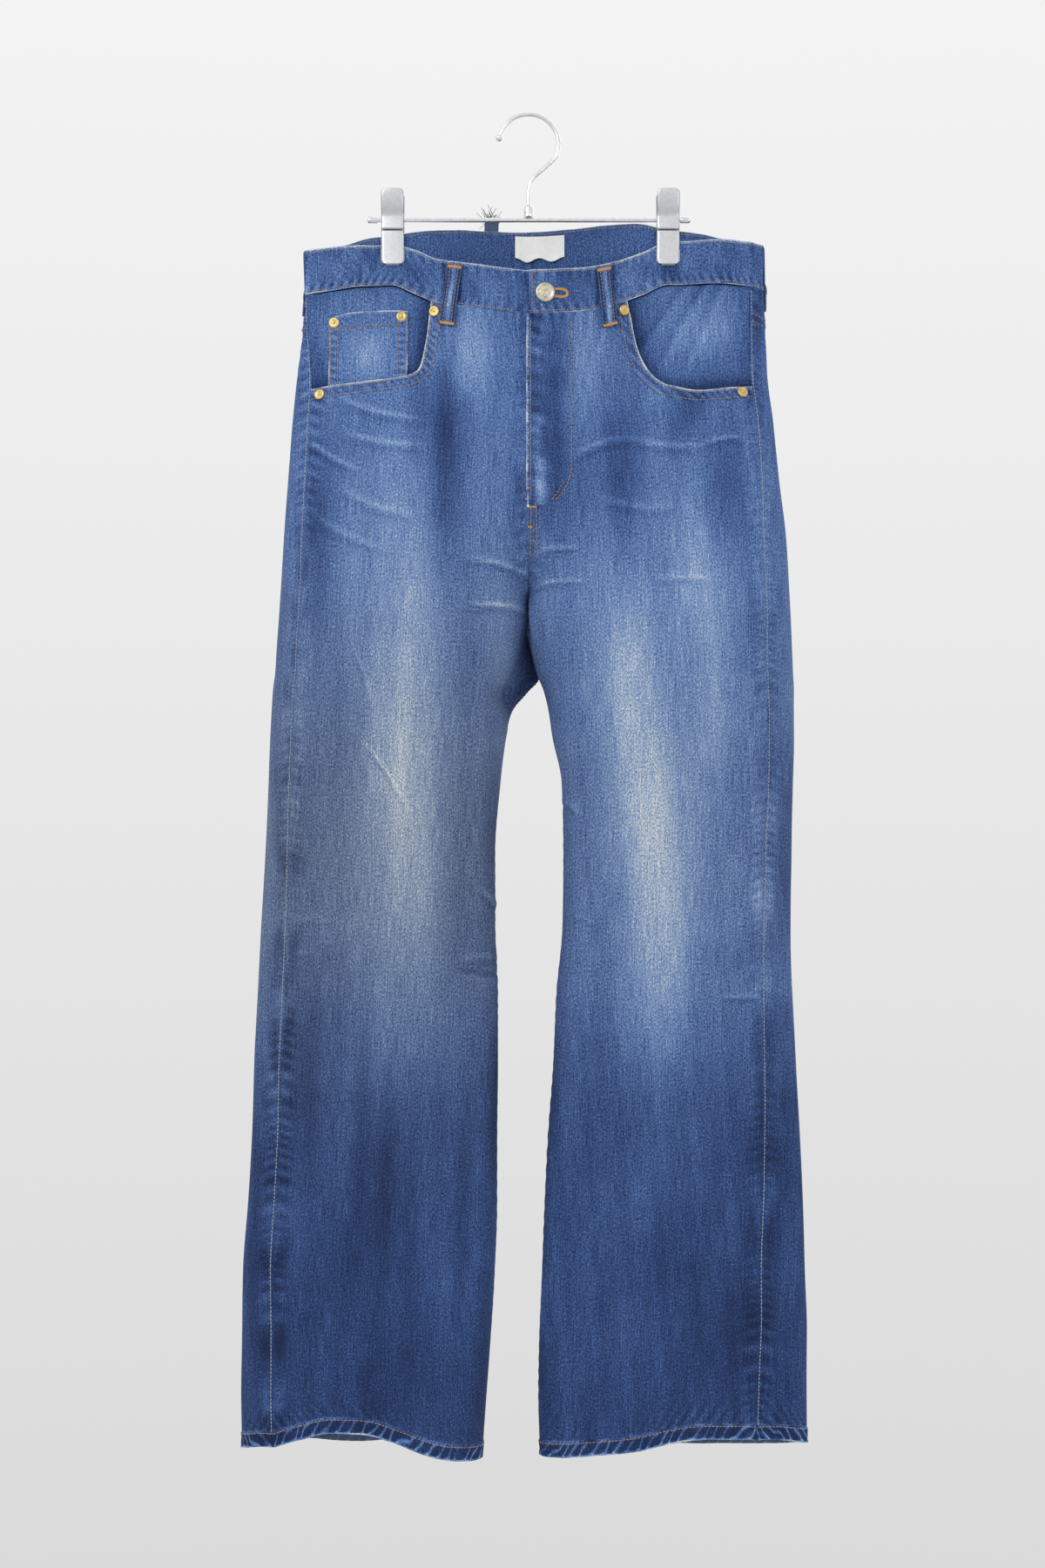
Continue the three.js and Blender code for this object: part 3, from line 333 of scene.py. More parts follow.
# %% Curves
def curve(x, y, value):
    """A smooth curve through the points (x, y) with no overshoot, read at the values.

    Between two points it is the cubic y0 (1 - r) + y1 r + w m0 t (1 - t)^2 + w m1 t^2 (t - 1),
    with r = t^2 (3 - 2 t), and each slope m is the harmonic mean of the chords beside it."""
    order = np.argsort(x)
    x, y = x[order], y[order]
    width = np.diff(x)
    chord = np.diff(y) / width
    slope = np.concatenate([chord[:1], 0 * chord[1:], chord[-1:]])
    before, after = chord[:-1], chord[1:]
    total = np.where(before * after > 0, before + after, 1)
    slope[1:-1] = np.where(before * after > 0, 2 * before * after / total, 0)
    value = np.clip(value, x[0], x[-1])
    i = np.clip(np.searchsorted(x, value, side="right") - 1, 0, len(width) - 1)
    t = (value - x[i]) / width[i]
    rise = t * t * (3 - 2 * t)
    bend = width[i] * (slope[i] * t * (1 - t) ** 2 + slope[i + 1] * t * t * (t - 1))
    return y[i] * (1 - rise) + y[i + 1] * rise + bend


def mix(a, b, t):
    """The value a share t of the way from a to b."""
    return a + (b - a) * t


def smooth(t):
    """A soft step: t^2 (3 - 2 t), held at 0 below 0 and at 1 above 1."""
    t = np.clip(t, 0, 1)
    return t * t * (3 - 2 * t)


def section(side, name, z):
    """A column of SECTIONS for one side, read at the heights."""
    key = ("right_" if side == RIGHT else "left_") + name
    return curve(SECTIONS["z"], SECTIONS[key], z)


def fold_height(side, face, x, z):
    """The large folds' height: a bell across each fold, times a sine along it to a power."""
    total = np.zeros(np.broadcast(x, z).shape)
    for row in FOLDS[side, face]:
        along = np.clip((z - row["top_z"]) / (row["low_z"] - row["top_z"]), 0, 1)
        across = (x - mix(row["top_x"], row["low_x"], along)) / row["width"]
        total = total + row["height"] * np.exp(-across**2) * np.sin(np.pi * along) ** 1.2
    return total


# %% [markdown]
# ## Rings
# The torso's ring is a rounded ellipse that turns into the clipped waist, and a leg's ring is
# one whose inner fold leans back. Near the crotch the skin passes from the one to the other.

# %% Rings
RING_STEPS = 220
PANEL_SAMPLES = 60
LEVEL_TOP = WAIST_Z + BAND_HEIGHT
LEVEL_STEP = 2.0
LEVELS = np.arange(LEVEL_TOP, HEM_Z - LEVEL_STEP, -LEVEL_STEP)


def rounded(value, power):
    """The signed power 2 / power of a sine or cosine, which makes a rounder corner."""
    return np.sign(value) * np.abs(value) ** (2 / power)


def clipped_depth(distance, reach, middle_depth, pinch_depth):
    """Half depth of the clipped waist: an open middle, a pinch under the clip, a side lobe.

    The middle is pinch + (middle - pinch) cos^2, and the lobe is a sine squared that closes
    in the round fold sqrt(1 - p^3)."""
    near = CLIP_X - CLIP_HALF
    far = CLIP_X + CLIP_HALF
    opening = np.cos(np.pi * np.minimum(distance, near) / (2 * near)) ** 2
    inside = pinch_depth + (middle_depth - pinch_depth) * opening
    p = np.clip((distance - far) / (reach - far), 0, 1)
    lobe = SIDE_LOBE_DEPTH * np.sin(np.pi * p**SIDE_LOBE_SKEW) ** 2 * SIDE_LOBE_SHARE
    outside = (pinch_depth + SIDE_FOLD_OPEN * p) * np.sqrt(np.maximum(0, 1 - p**3)) + lobe
    return np.where(distance < CLIP_X, inside, outside)


def torso_rings(side, z):
    """x and y of the torso's half rings: a rounded ellipse that turns into the clipped waist."""
    angle = np.pi / 2 - np.pi * np.arange(RING_STEPS + 1) / RING_STEPS
    z = z[:, None]
    reach = np.abs(section(side, "outer", z))
    distance = reach * np.maximum(0, rounded(np.cos(angle), HIP_POWER))
    front = angle > 0
    depth = np.where(front, section(side, "front", z), section(side, "back", z))
    full = depth * np.abs(rounded(np.sin(angle), HIP_POWER))
    clipped = smooth((z - PINCH_FADE_Z) / (WAIST_Z - PINCH_FADE_Z))
    near_band = np.clip((z - WAIST_Z) / BAND_HEIGHT, 0, 1)
    pinch = mix(SEAM_HALF_DEPTH, PINCH_HALF_DEPTH, np.minimum(1, near_band * PINCH_RATE))
    middle = np.where(front, MIDDLE_FRONT_DEPTH, MIDDLE_BACK_DEPTH)
    depth = mix(full, clipped_depth(distance, reach, middle, pinch), clipped)
    return side * distance, np.where(front, -depth, depth)


def leg_rings(side, z):
    """x and y of a leg's rings: a rounded ellipse whose inner fold leans back and across."""
    angle = np.pi + INSEAM_ANGLE - 2 * np.pi * np.arange(RING_STEPS + 1) / RING_STEPS
    z = z[:, None]
    outer, inner = section(side, "outer", z), section(side, "inner", z)
    inner = inner - side * CLOSE[side] * np.exp(-(((z - CLOSE["z"]) / CLOSE["tall"]) ** 2))
    c, s = rounded(np.cos(angle), LEG_POWER), rounded(np.sin(angle), LEG_POWER)
    near_inner = ((1 - c) / 2) ** 3
    lean = curve(SECTIONS["z"], SECTIONS["inner_back"], z)
    depth = np.where(s > 0, section(side, "front", z), section(side, "back", z))
    y = -depth * s + lean * near_inner
    share = np.clip((z - SLANT_TOP_Z) / (SLANT_LOW_Z - SLANT_TOP_Z), 0, 1)
    slant = FORK_SLANT * np.sin(np.pi * share) ** 2
    x = (outer + inner) / 2 + side * np.abs(outer - inner) / 2 * c + slant * y * near_inner
    if side == RIGHT:
        behind = smooth((y - 6) / 22)
        x = x + curve(SEAT["z"], SEAT["reach"], z) * near_inner * behind
        x = x - curve(SEAT["z"], SEAT["pull"], z) * near_inner**2 * (1 - behind)
    return x, y


def fork_middle(z):
    """Where the two legs meet: the centre line, and lower down midway between their folds."""
    middle = (section(RIGHT, "inner", z) + section(LEFT, "inner", z)) / 2
    return np.where(z > CROTCH_Z, 0, middle)


def seam_place(side, x, z):
    """The fractional index on each ring's front where it reaches the side seam."""
    seam_x = (section(side, "outer", z) - side * section(side, "seam", z))[:, None]
    short = side * (x[:, : RING_STEPS // 2] - seam_x) < 0
    i = np.maximum(1, short.sum(axis=1))[:, None]
    before, after = np.take_along_axis(x, i - 1, 1), np.take_along_axis(x, i, 1)
    return (i - 1 + (seam_x - before) / (after - before))[:, 0]


def spread(x, y, start, end):
    """Each row's line resampled at even steps between its fractional indices start and end."""
    step = np.hypot(np.diff(x), np.diff(y))
    length = np.concatenate([np.zeros((len(x), 1)), np.cumsum(step, axis=1)], axis=1)
    index = np.arange(x.shape[1])
    share = np.linspace(0, 1, PANEL_SAMPLES + 1)
    made = []
    for xs, ys, along, first, last in zip(x, y, length, start, end):
        want = mix(np.interp(first, index, along), np.interp(last, index, along), share)
        made.append((np.interp(want, along, xs), np.interp(want, along, ys)))
    made = np.array(made)
    return made[:, 0], made[:, 1]


def face_map(side, face):
    """x, y and length of one face's stretch of every ring, from q = 0 to q = 1."""
    torso, leg = torso_rings(side, LEVELS), leg_rings(side, LEVELS)
    turned = curve(FORK["z"], FORK["front"], LEVELS)[:, None]
    seat = curve(FORK["z"], FORK["seat"], LEVELS)[:, None]
    first, last = 0 * LEVELS, RING_STEPS + 0 * LEVELS
    stretches = []
    for rings in (torso, leg):
        seam = seam_place(side, rings[0], LEVELS)
        ends = (first, seam) if face == FRONT else (seam, last)
        stretches.append(spread(*rings, *ends))
    share = np.linspace(0, 1, PANEL_SAMPLES + 1)
    if face == BACK:
        turned = mix(turned, seat, smooth(2 * share))
    x = mix(stretches[0][0], stretches[1][0], turned)
    y = mix(stretches[0][1], stretches[1][1], turned)
    edge = np.sin(np.pi * share) ** 0.7
    y = y + (-1 if face == FRONT else 1) * edge * fold_height(side, face, x, LEVELS[:, None])
    x, y = spread(x, y, first, PANEL_SAMPLES + first)
    return x, y, np.hypot(np.diff(x), np.diff(y)).sum(axis=1)


MAPS = {(side, face): face_map(side, face) for side, _ in SIDES for face in (FRONT, BACK)}
print("rings:", len(LEVELS), "a face, waist", round(sum(m[2][19] for m in MAPS.values())), "mm")


# %% [markdown]
# ## A place on the skin
# A place is a face of a side, a share q along the face's ring, and a section height z. On a
# front, q runs from the centre or inseam to the side seam, and on a back from the side seam
# to the centre or inseam. The real height follows the waist's sag and the hem's arch.

# %% The skin
def read_map(table, q, z):
    """A map read between its heights (rows) and its shares (columns): bilinear."""
    row = np.clip((LEVEL_TOP - z) / LEVEL_STEP, 0, len(LEVELS) - 1.001)
    column = np.clip(q, 0, 1) * (PANEL_SAMPLES - 1e-6)
    row, column = np.broadcast_arrays(row, column)
    r, c = row.astype(int), column.astype(int)
    low = mix(table[r, c], table[r, c + 1], column - c)
    high = mix(table[r + 1, c], table[r + 1, c + 1], column - c)
    return mix(low, high, row - r)


def face_length(side, face, z):
    """The length in millimetres of a face's ring at each height."""
    return np.interp(-np.asarray(z, dtype=float), -LEVELS, MAPS[side, face][2])


def edge_height(table, names, face, q, at, seam_at):
    """An edge's height. The back's curve is eased onto the front's near the side seam."""
    key = "x" if "x" in table else "across"
    front, back = table[names[0]], table[names[1]]
    if face == FRONT:
        return curve(table[key], front, at)
    step = curve(table[key], front, seam_at) - curve(table[key], back, seam_at)
    return curve(table[key], back, at) + step * smooth(1 - q / EASE_SHARE)


def skin(side, face, q, z):
    """Points of the garment's surface: ring point at height z, then sagged and arched."""
    q, z = np.broadcast_arrays(np.asarray(q, dtype=float), np.asarray(z, dtype=float))
    x_map, y_map, _ = MAPS[side, face]
    x, y = read_map(x_map, q, z), read_map(y_map, q, z)
    front_map = MAPS[side, FRONT][0]
    waist_x = read_map(x_map, q, WAIST_Z + 0 * z)
    seam_x = front_map[int((LEVEL_TOP - WAIST_Z) / LEVEL_STEP), -1]
    seam = edge_height(WAIST_EDGES, ("front_seam", "back_seam"), face, q, waist_x, seam_x)
    top = edge_height(WAIST_EDGES, ("front_top", "back_top"), face, q, waist_x, seam_x)
    band = mix(seam, top, (np.minimum(z, LEVEL_TOP) - WAIST_Z) / BAND_HEIGHT)
    sag = (seam - WAIST_Z) * (1 - smooth((WAIST_Z - z) / WAIST_SAG_FADE))
    outer, inner = section(side, "outer", z), section(side, "inner", z)
    inner = np.where(np.abs(inner - outer) < 1, outer - side, inner)
    name = "right_" if side == RIGHT else "left_"
    across = np.clip((x - outer) / (inner - outer), 0, 1)
    seam_across = np.clip((read_map(front_map, 1 + 0 * q, z) - outer) / (inner - outer), 0, 1)
    edge = edge_height(HEM_EDGES, (name + "front", name + "back"), face, q, across, seam_across)
    arch = edge * smooth(1 - (z - HEM_Z) / HEM_ARCH_FADE)
    height = np.where(z > WAIST_Z, band, z + sag + arch)
    return np.stack([x, y, height], axis=-1)


def beside(side, face, q, z, step):
    """The skin's point a step of q further, which may lie past a seam or the centre line."""
    along = q + step
    inside = skin(side, face, along, z)
    other = BACK if face == FRONT else FRONT
    over_seam = along > 1 if face == FRONT else along < 0
    over_end = along < 0 if face == FRONT else along > 1
    past = skin(side, other, along - 1 if face == FRONT else along + 1, z)
    edge, back = skin(side, face, q, z), skin(side, face, q - step, z)
    mirrored = 2 * edge - back
    turned = curve(FORK["z"], FORK["front"], z)
    mirrored[..., 1] = mix(back[..., 1], mirrored[..., 1], turned)
    end = skin(side, other, along + 1 if face == FRONT else along - 1, z)
    end = np.where((z > CROTCH_Z)[..., None], mirrored, end)
    made = np.where(over_seam[..., None], past, inside)
    return np.where(over_end[..., None], end, made)


def outward(side, face, q, z):
    """The skin's outward direction: the cross product of its two tangents."""
    q, z = np.broadcast_arrays(np.asarray(q, dtype=float), np.asarray(z, dtype=float))
    z = np.where(np.abs(z - WAIST_Z) < 1, WAIST_Z, z)
    step_q, step_z = 0.012, 2.0
    along = beside(side, face, q, z, step_q) - beside(side, face, q, z, -step_q)
    down = skin(side, face, q, z - step_z) - skin(side, face, q, z + step_z)
    normal = -side * np.cross(along, down)
    return normal / np.linalg.norm(normal, axis=-1, keepdims=True)


def locate(side, face, x, height):
    """q and z of the place that lies behind a point seen from the front, by halving."""
    x, height = np.broadcast_arrays(np.asarray(x, dtype=float), np.asarray(height, dtype=float))
    z = height.copy()
    for _ in range(4):
        low = np.full(x.shape, 0.0 if face == FRONT else 1.0)
        high = 1 - low
        for _ in range(18):
            q = (low + high) / 2
            short = side * (skin(side, face, q, z)[..., 0] - x) < 0
            low, high = np.where(short, q, low), np.where(short, high, q)
        seam = skin(side, face, q, WAIST_Z)[..., 2]
        top = skin(side, face, q, LEVEL_TOP)[..., 2]
        in_band = WAIST_Z + BAND_HEIGHT * (height - seam) / (top - seam)
        below = np.minimum(WAIST_Z, z + height - skin(side, face, q, z)[..., 2])
        z = np.where(height > seam, in_band, below)
    return q, z


print("centre back waist:", np.round(skin(LEFT, BACK, 1.0, float(WAIST_Z)), 1))

# %% [markdown]
# ## Creases, puckers and wear
# Worn denim is pale where it sticks out and dark where it is sheltered. So each place has two
# numbers: its relief in millimetres, and its wear from 0, unworn indigo, to 1, almost white.
# In a few places this wear number also carries painted shade: the seat between the legs, the
# legs' inner edges, the waistband beside the front loops, the loops' edges, the facings under
# the pocket mouths and the fly's centre line.
# FADES are the broad worn areas, CREASES the single folds with their bleached ridges.

# %% Fades and creases
FADES = by_face(
    "x z wide tall lean wear",
    {
        (RIGHT, FRONT): [
            [-106, -570, 34, 190, 0.0, 0.32],
            [-148, -620, 26, 200, 0.0, -0.03],
            [-182, -360, 16, 90, 0.0, -0.10],
            [-186, -760, 20, 80, 0.0, -0.12],
            [-56, -700, 22, 150, 0.0, -0.12],
            [-22, -480, 14, 90, 0.0, 0.12],
            [-128, -1010, 40, 190, 0.0, -0.08],
            [-142, -310, 30, 90, 0.0, 0.07],
            [-52, -216, 18, 42, 0.0, 0.24],
            [-70, -315, 15, 100, 0.0, -0.26],
            [-84, -262, 22, 34, 0.0, -0.10],
        ],
        (LEFT, BACK): [
            [228, -670, 22, 110, 0.0, -0.14],
            [116, -330, 70, 90, 0.0, 0.16],
            [128, -640, 50, 190, 0.0, 0.16],
        ],
        (LEFT, FRONT): [
            [98, -590, 30, 210, -0.10, 0.34],
            [158, -500, 20, 120, 0.0, 0.18],
            [56, -730, 20, 140, 0.0, -0.08],
            [126, -700, 26, 90, 0.0, 0.08],
            [139, -385, 24, 60, 0.0, 0.18],
            [80, -330, 20, 80, 0.0, -0.26],
            [30, -340, 24, 60, 0.0, -0.16],
            [140, -262, 18, 36, 0.4, -0.16],
            [168, -335, 20, 60, 0.0, -0.16],
            [58, -215, 16, 40, 0.0, 0.10],
            [62, -1120, 26, 40, 0.5, -0.06],
        ],
        (RIGHT, BACK): [
            [-112, -330, 70, 90, 0.0, 0.16],
            [-130, -640, 50, 190, 0.0, 0.16],
        ],
    },
)
CREASES = by_face(
    "from_x from_z to_x to_z bow width height wear",
    {
        (RIGHT, FRONT): [
            [-56, -396, 2, -409, 3, 2.6, 1.3, 0.20],
            [-54, -436, -2, -437, 2, 3.0, 1.4, 0.20],
            [-166, -252, -90, -273, -4, 3.4, 1.1, 0.14],
            [-160, -284, -88, -296, -4, 3.6, 1.1, 0.14],
            [-193, -288, -146, -318, -3, 3.0, 1.2, 0.15],
            [-165, -332, -95, -358, -5, 4.0, 1.0, 0.12],
            [-186, -356, -120, -388, -4, 3.6, 0.9, 0.10],
            [-144, -552, -106, -608, 3, 1.8, 1.3, 0.16],
            [-152, -470, -134, -520, 2, 1.8, 0.9, 0.10],
            [-60, -743, -27, -743, 1, 2.4, 2.2, 0.16],
            [-62, -752, -27, -758, -1, 2.6, -2.0, -0.12],
            [-44, -681, -28, -700, 2, 2.4, 1.6, 0.14],
            [-204, -709, -170, -710, 2, 2.4, 1.5, 0.13],
            [-215, -742, -190, -736, 1, 2.2, 1.0, 0.08],
            [-75, -176, -70, -212, 1, 2.4, 1.0, 0.10],
        ],
        (LEFT, FRONT): [
            [4, -391, 44, -386, 2, 2.4, 1.2, 0.17],
            [4, -418, 48, -415, 2, 2.6, 1.3, 0.16],
            [38, -307, 86, -290, 3, 3.4, 1.1, 0.15],
            [84, -290, 152, -296, -3, 3.4, 1.0, 0.13],
            [150, -295, 188, -288, 2, 3.0, 1.1, 0.13],
            [110, -413, 158, -413, 2, 3.2, 1.0, 0.12],
            [60, -344, 130, -350, -4, 3.6, 0.8, 0.09],
            [167, -776, 209, -777, 2, 2.6, 1.6, 0.13],
            [30, -604, 46, -618, 2, 2.6, 1.8, 0.10],
            [40, -706, 60, -712, 1, 2.2, 0.8, 0.07],
            [70, -176, 60, -214, 1, 2.4, 1.0, 0.10],
        ],
        (RIGHT, BACK): [
            [-170, -374, -60, -384, -7, 5.0, 2.0, 0.10],
            [-150, -398, -36, -412, -7, 5.0, 2.2, 0.10],
            [-208, -632, -150, -643, 3, 3.4, 1.7, 0.06],
            [-192, -664, -112, -678, 6, 3.6, 1.9, 0.07],
            [-118, -651, -72, -646, 2, 3.2, 1.3, 0.05],
            [-196, -706, -128, -712, 5, 3.2, 1.6, 0.06],
            [-104, -731, -58, -722, 2, 3.0, 1.4, 0.05],
            [-172, -764, -132, -771, 2, 3.0, 1.0, 0.04],
            [-44, -232, -10, -268, 2, 3.0, 1.2, 0.08],
        ],
        (LEFT, BACK): [
            [62, -376, 168, -370, 6, 5.0, 2.0, 0.10],
            [40, -414, 152, -400, 7, 5.0, 2.1, 0.10],
            [82, -640, 142, -650, 4, 3.6, 1.6, 0.06],
            [154, -672, 216, -667, -4, 3.4, 1.7, 0.06],
            [66, -690, 128, -697, 4, 3.4, 1.9, 0.07],
            [138, -718, 208, -710, -4, 3.2, 1.4, 0.05],
            [78, -748, 118, -754, 2, 3.0, 1.0, 0.04],
            [10, -262, 46, -236, 2, 3.0, 1.2, 0.08],
        ],
    },
)
BASE_WEAR = columns(
    "z wear",
    [
        [-155, 0.40], [-240, 0.41], [-330, 0.42], [-430, 0.45], [-560, 0.455], [-700, 0.46],
        [-770, 0.42], [-830, 0.31], [-880, 0.235], [-1000, 0.19], [-1180, 0.15],
    ],
)
CREASE_BLEACH = 1.4


def waves(u, v, seed, count=9):
    """Soft noise of about -1 to 1: the mean of sines with seeded directions and phases."""
    rng = np.random.default_rng(seed)
    total = 0
    for across, along, phase in zip(*rng.normal(size=(2, count)), rng.uniform(0, 7, count)):
        total = total + np.sin(across * u + along * v + phase)
    return total / math.sqrt(count)


def puckers(along, pitch, seed):
    """Uneven waves along a seam: a sine whose phase and height wander."""
    turn = along / pitch + 0.7 * waves(along / (2.2 * pitch), 0, seed)
    return np.sin(2 * np.pi * turn) * (0.7 + 0.5 * waves(along / 26, 0, seed + 1))


def bell(distance):
    """exp(-d^2), which is 1 at the middle and almost nothing two widths away."""
    return np.exp(-(distance**2))


def creases(side, face, x, height):
    """Relief and wear of the single creases: a bell across each, a sine's root along it."""
    relief, wear = np.zeros(x.shape), np.zeros(x.shape)
    for row in CREASES[side, face]:
        run = np.array([row["to_x"] - row["from_x"], row["to_z"] - row["from_z"]])
        length = np.hypot(*run)
        run = run / length
        dx, dz = x - row["from_x"], height - row["from_z"]
        along = (dx * run[0] + dz * run[1]) / length
        inside = np.clip(along, 0, 1)
        bowed = row["bow"] * np.sin(np.pi * inside)
        across = dz * run[0] - dx * run[1] - bowed
        end = np.maximum(0, np.abs(along - 0.5) - 0.5) * length
        body = np.sqrt(np.sin(np.pi * inside)) * bell(end / row["width"])
        relief = relief + row["height"] * body * bell(across / row["width"])
        relief = relief - 0.4 * row["height"] * body * bell(across / row["width"] + 1.8)
        bleach = CREASE_BLEACH * row["wear"]
        wear = wear + bleach * body * bell(across / (0.7 * row["width"]))
        wear = wear - 0.4 * bleach * body * bell(across / row["width"] + 1.6)
    return relief, wear


def fades(side, face, x, height):
    """Wear of the broad areas: a leaning bell for each."""
    total = np.zeros(x.shape)
    for row in FADES[side, face]:
        dz = height - row["z"]
        dx = x - row["x"] - row["lean"] * dz
        total = total + row["wear"] * bell(dx / row["wide"]) * bell(dz / row["tall"])
    return total


# %% [markdown]
# ## A dressed place
# Everything that lies on a panel asks for the same dressed place: the skin's point, its outward
# direction, its relief and its wear, with the seams' puckers and the turned hem. Its wear also
# carries painted shade at the seat between the legs and along the legs' inner edges.

# %% Dressing a place
SEAM_PITCH = 11
HEM_PITCH = 9.5
HEM_SLANT = 0.7
GROOVE = 1.3
BACK_SWAY = 9


def dress(side, face, q, z):
    """Skin point, outward direction, relief and wear of whole grids of places; the wear carries painted
    shade at the seat and along the inseams.
    """
    q, z = np.broadcast_arrays(np.asarray(q, dtype=float), np.asarray(z, dtype=float))
    point = skin(side, face, q, z)
    x, height = point[..., 0], point[..., 2]
    length = face_length(side, face, z)
    to_side = (1 - q) * length if face == FRONT else q * length
    to_inner = length - to_side
    seed = 10 * (side + 2) + face
    sway = BACK_SWAY * waves(z / 80, x / 70, seed + 400) if face == BACK else 0
    relief = 0.8 * waves((x + sway) / 20, z / 120, seed)
    relief = relief + 0.35 * waves((x + sway) / 7, z / 40, seed + 100)
    relief = relief * smooth(to_side / 25) * smooth(to_inner / 25)
    wear = curve(BASE_WEAR["z"], BASE_WEAR["wear"], z) + fades(side, face, x, height)
    wear = wear + 0.035 * waves((x + sway) / 5, z / 60, seed + 200)
    wear = wear + 0.02 * waves(x / 22, z / 22, seed + 300)
    wear = wear - (0.07 if face == FRONT else 0.09) * bell(to_side / 36)
    # Darker seat and inner thighs below the crotch: partly unworn cloth, partly painted shade of the
    # seat seen between the legs.
    seat_reach = 36 if face == BACK else 27
    seat_share = 1.0 if side == RIGHT or face == BACK else 0.3
    below = smooth((-425 - z) / 40) * smooth((z + 560) / 50)
    wear = wear - 0.42 * seat_share * bell(to_inner / seat_reach) ** 0.5 * below
    # Darker strip along each inseam: partly unworn cloth, partly painted shade where the leg's inner
    # side curves away.
    below_fork = smooth((-570 - z) / 60) * smooth((z + 980) / 120)
    wear = wear - (0.06 + 0.20 * below_fork) * bell(to_inner / 24)

    folds, bleach = creases(side, face, x, height)
    away = smooth(to_side / 5) * smooth(to_inner / 4)
    relief = relief + folds * away
    wear = wear + bleach * away

    for distance, strength, pitch, offset in ((to_side, 1.0, SEAM_PITCH, 0), (to_inner, 0.7, 13, 40)):
        wave = puckers(z + 0.4 * distance, pitch, 50 + side + offset)
        blotch = waves(z / 17, distance / 9, 56 + side + offset)
        relief = relief + 0.42 * strength * wave * bell((distance - 5) / 5)
        wear = wear + 0.09 * strength * (wave + blotch) * bell((distance - 6) / 7)
        relief = relief - 0.5 * bell(distance / GROOVE)

    hem = smooth((HEM_Z + HEM_DEPTH + 0.7 - z) / 1.4)
    rope = puckers(to_side + HEM_SLANT * (z - HEM_Z), HEM_PITCH, 70 + side + 5 * face)
    relief = relief + hem * (0.6 + 0.3 * rope)
    rim = bell((z - HEM_Z - HEM_DEPTH) / 1.2) * (0.6 + 0.5 * waves(to_side / 6, 0, 75 + side))
    wear = wear + 0.26 * rim - 0.04 * hem
    above = smooth((z - HEM_Z - HEM_DEPTH) / 2) * bell((z - HEM_Z - HEM_DEPTH) / 16)
    wear = wear + 0.10 * above * rope
    relief = relief * smooth((WAIST_Z - z) / 10)
    under_band = bell((z - WAIST_Z) / 9)
    wear = wear + 0.10 * under_band * puckers(x, 9, 90)
    return point, outward(side, face, q, z), relief, wear


# %% [markdown]
# ## Shells and materials
# A piece of cloth is a closed shell between an outer and an inner grid of points. The mesh
# carries a UV map in metres of cloth, so the weave has its true size everywhere, and the
# wear of each point, which in places also carries painted shade.

# %% Shells
AGED_SHARE = 0.9
AGED_Z = -650
AGED_TALL = 210
INSIDE_WEAR = 0.3


def mesh_object(name, points, quads, material, uv=None, fields=None, sharp=0.9, caps=()):
    """A smooth mesh on points in millimetres, with end caps, a UV map and point attributes."""
    mesh = bpy.data.meshes.new(name)
    faces = quads.tolist() + [list(cap) for cap in caps]
    mesh.from_pydata((points.reshape(-1, 3) * MM).tolist(), [], faces)
    mesh.polygons.foreach_set("use_smooth", np.ones(len(mesh.polygons), dtype=bool))
    if sharp:
        mesh.set_sharp_from_angle(angle=sharp)
    if uv is not None:
        corner = np.empty(len(mesh.loops), dtype=np.int32)
        mesh.loops.foreach_get("vertex_index", corner)
        layer = mesh.uv_layers.new(name="cloth")
        layer.data.foreach_set("uv", (uv.reshape(-1, 2)[corner] * MM).ravel())
    for key, values in (fields or {}).items():
        layer = mesh.attributes.new(key, "FLOAT", "POINT")
        layer.data.foreach_set("value", np.asarray(values, dtype=np.float32).ravel())
    mesh.materials.append(material)
    return add_object(name, mesh)


def fit(piece, node=None):
    """Fixes a finished piece to the one body, in place of its solid where it has one."""
    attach(piece, "root")
    if node:
        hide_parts(node)
    return piece


def shell_quads(rows, columns_):
    """Quads of a closed shell: an outer grid, an inner grid and the rim between them."""
    index = np.arange(2 * rows * columns_).reshape(2, rows, columns_)
    outer, inner = index
    faces = []
    for layer, turn in ((outer, 1), (inner, -1)):
        corners = (layer[:-1, :-1], layer[1:, :-1], layer[1:, 1:], layer[:-1, 1:])
        faces.append(np.stack(corners[::turn], axis=-1).reshape(-1, 4))
    rim = np.concatenate([outer[0, :-1], outer[:-1, -1], outer[-1, :0:-1], outer[:0:-1, 0]])
    under = np.concatenate([inner[0, :-1], inner[:-1, -1], inner[-1, :0:-1], inner[:0:-1, 0]])
    next_rim, next_under = np.roll(rim, -1), np.roll(under, -1)
    faces.append(np.stack([rim, next_rim, next_under, under], axis=-1))
    return np.concatenate(faces)


def enclosed(points, quads):
    """Six times the signed volume inside the quads, from the sum of a . (b x c)."""
    flat = points.reshape(-1, 3)
    a, b, c, d = (flat[quads[:, i]] for i in range(4))
    return (a * (np.cross(b, c) + np.cross(c, d))).sum()


def turned_out(points, quads):
    """The quads in the order that faces them outwards."""
    return quads[:, ::-1] if enclosed(points, quads) < 0 else quads


def ring_quads(rings, sides):
    """Point numbers of rings of points, and the quads between each ring and the next."""
    index = np.arange(rings * sides).reshape(rings, sides)
    after = np.roll(index, -1, axis=1)
    quads = np.stack([index[:-1], index[1:], after[1:], after[:-1]], axis=-1)
    return index, quads.reshape(-1, 4)


def age(point):
    """How grey the blue has gone: a soft belt over the thighs and knees, more on the right."""
    x, height = point[..., 0], point[..., 2]
    return AGED_SHARE * bell((height - AGED_Z) / AGED_TALL) * mix(1.0, 0.35, smooth(x / 60 + 0.5))


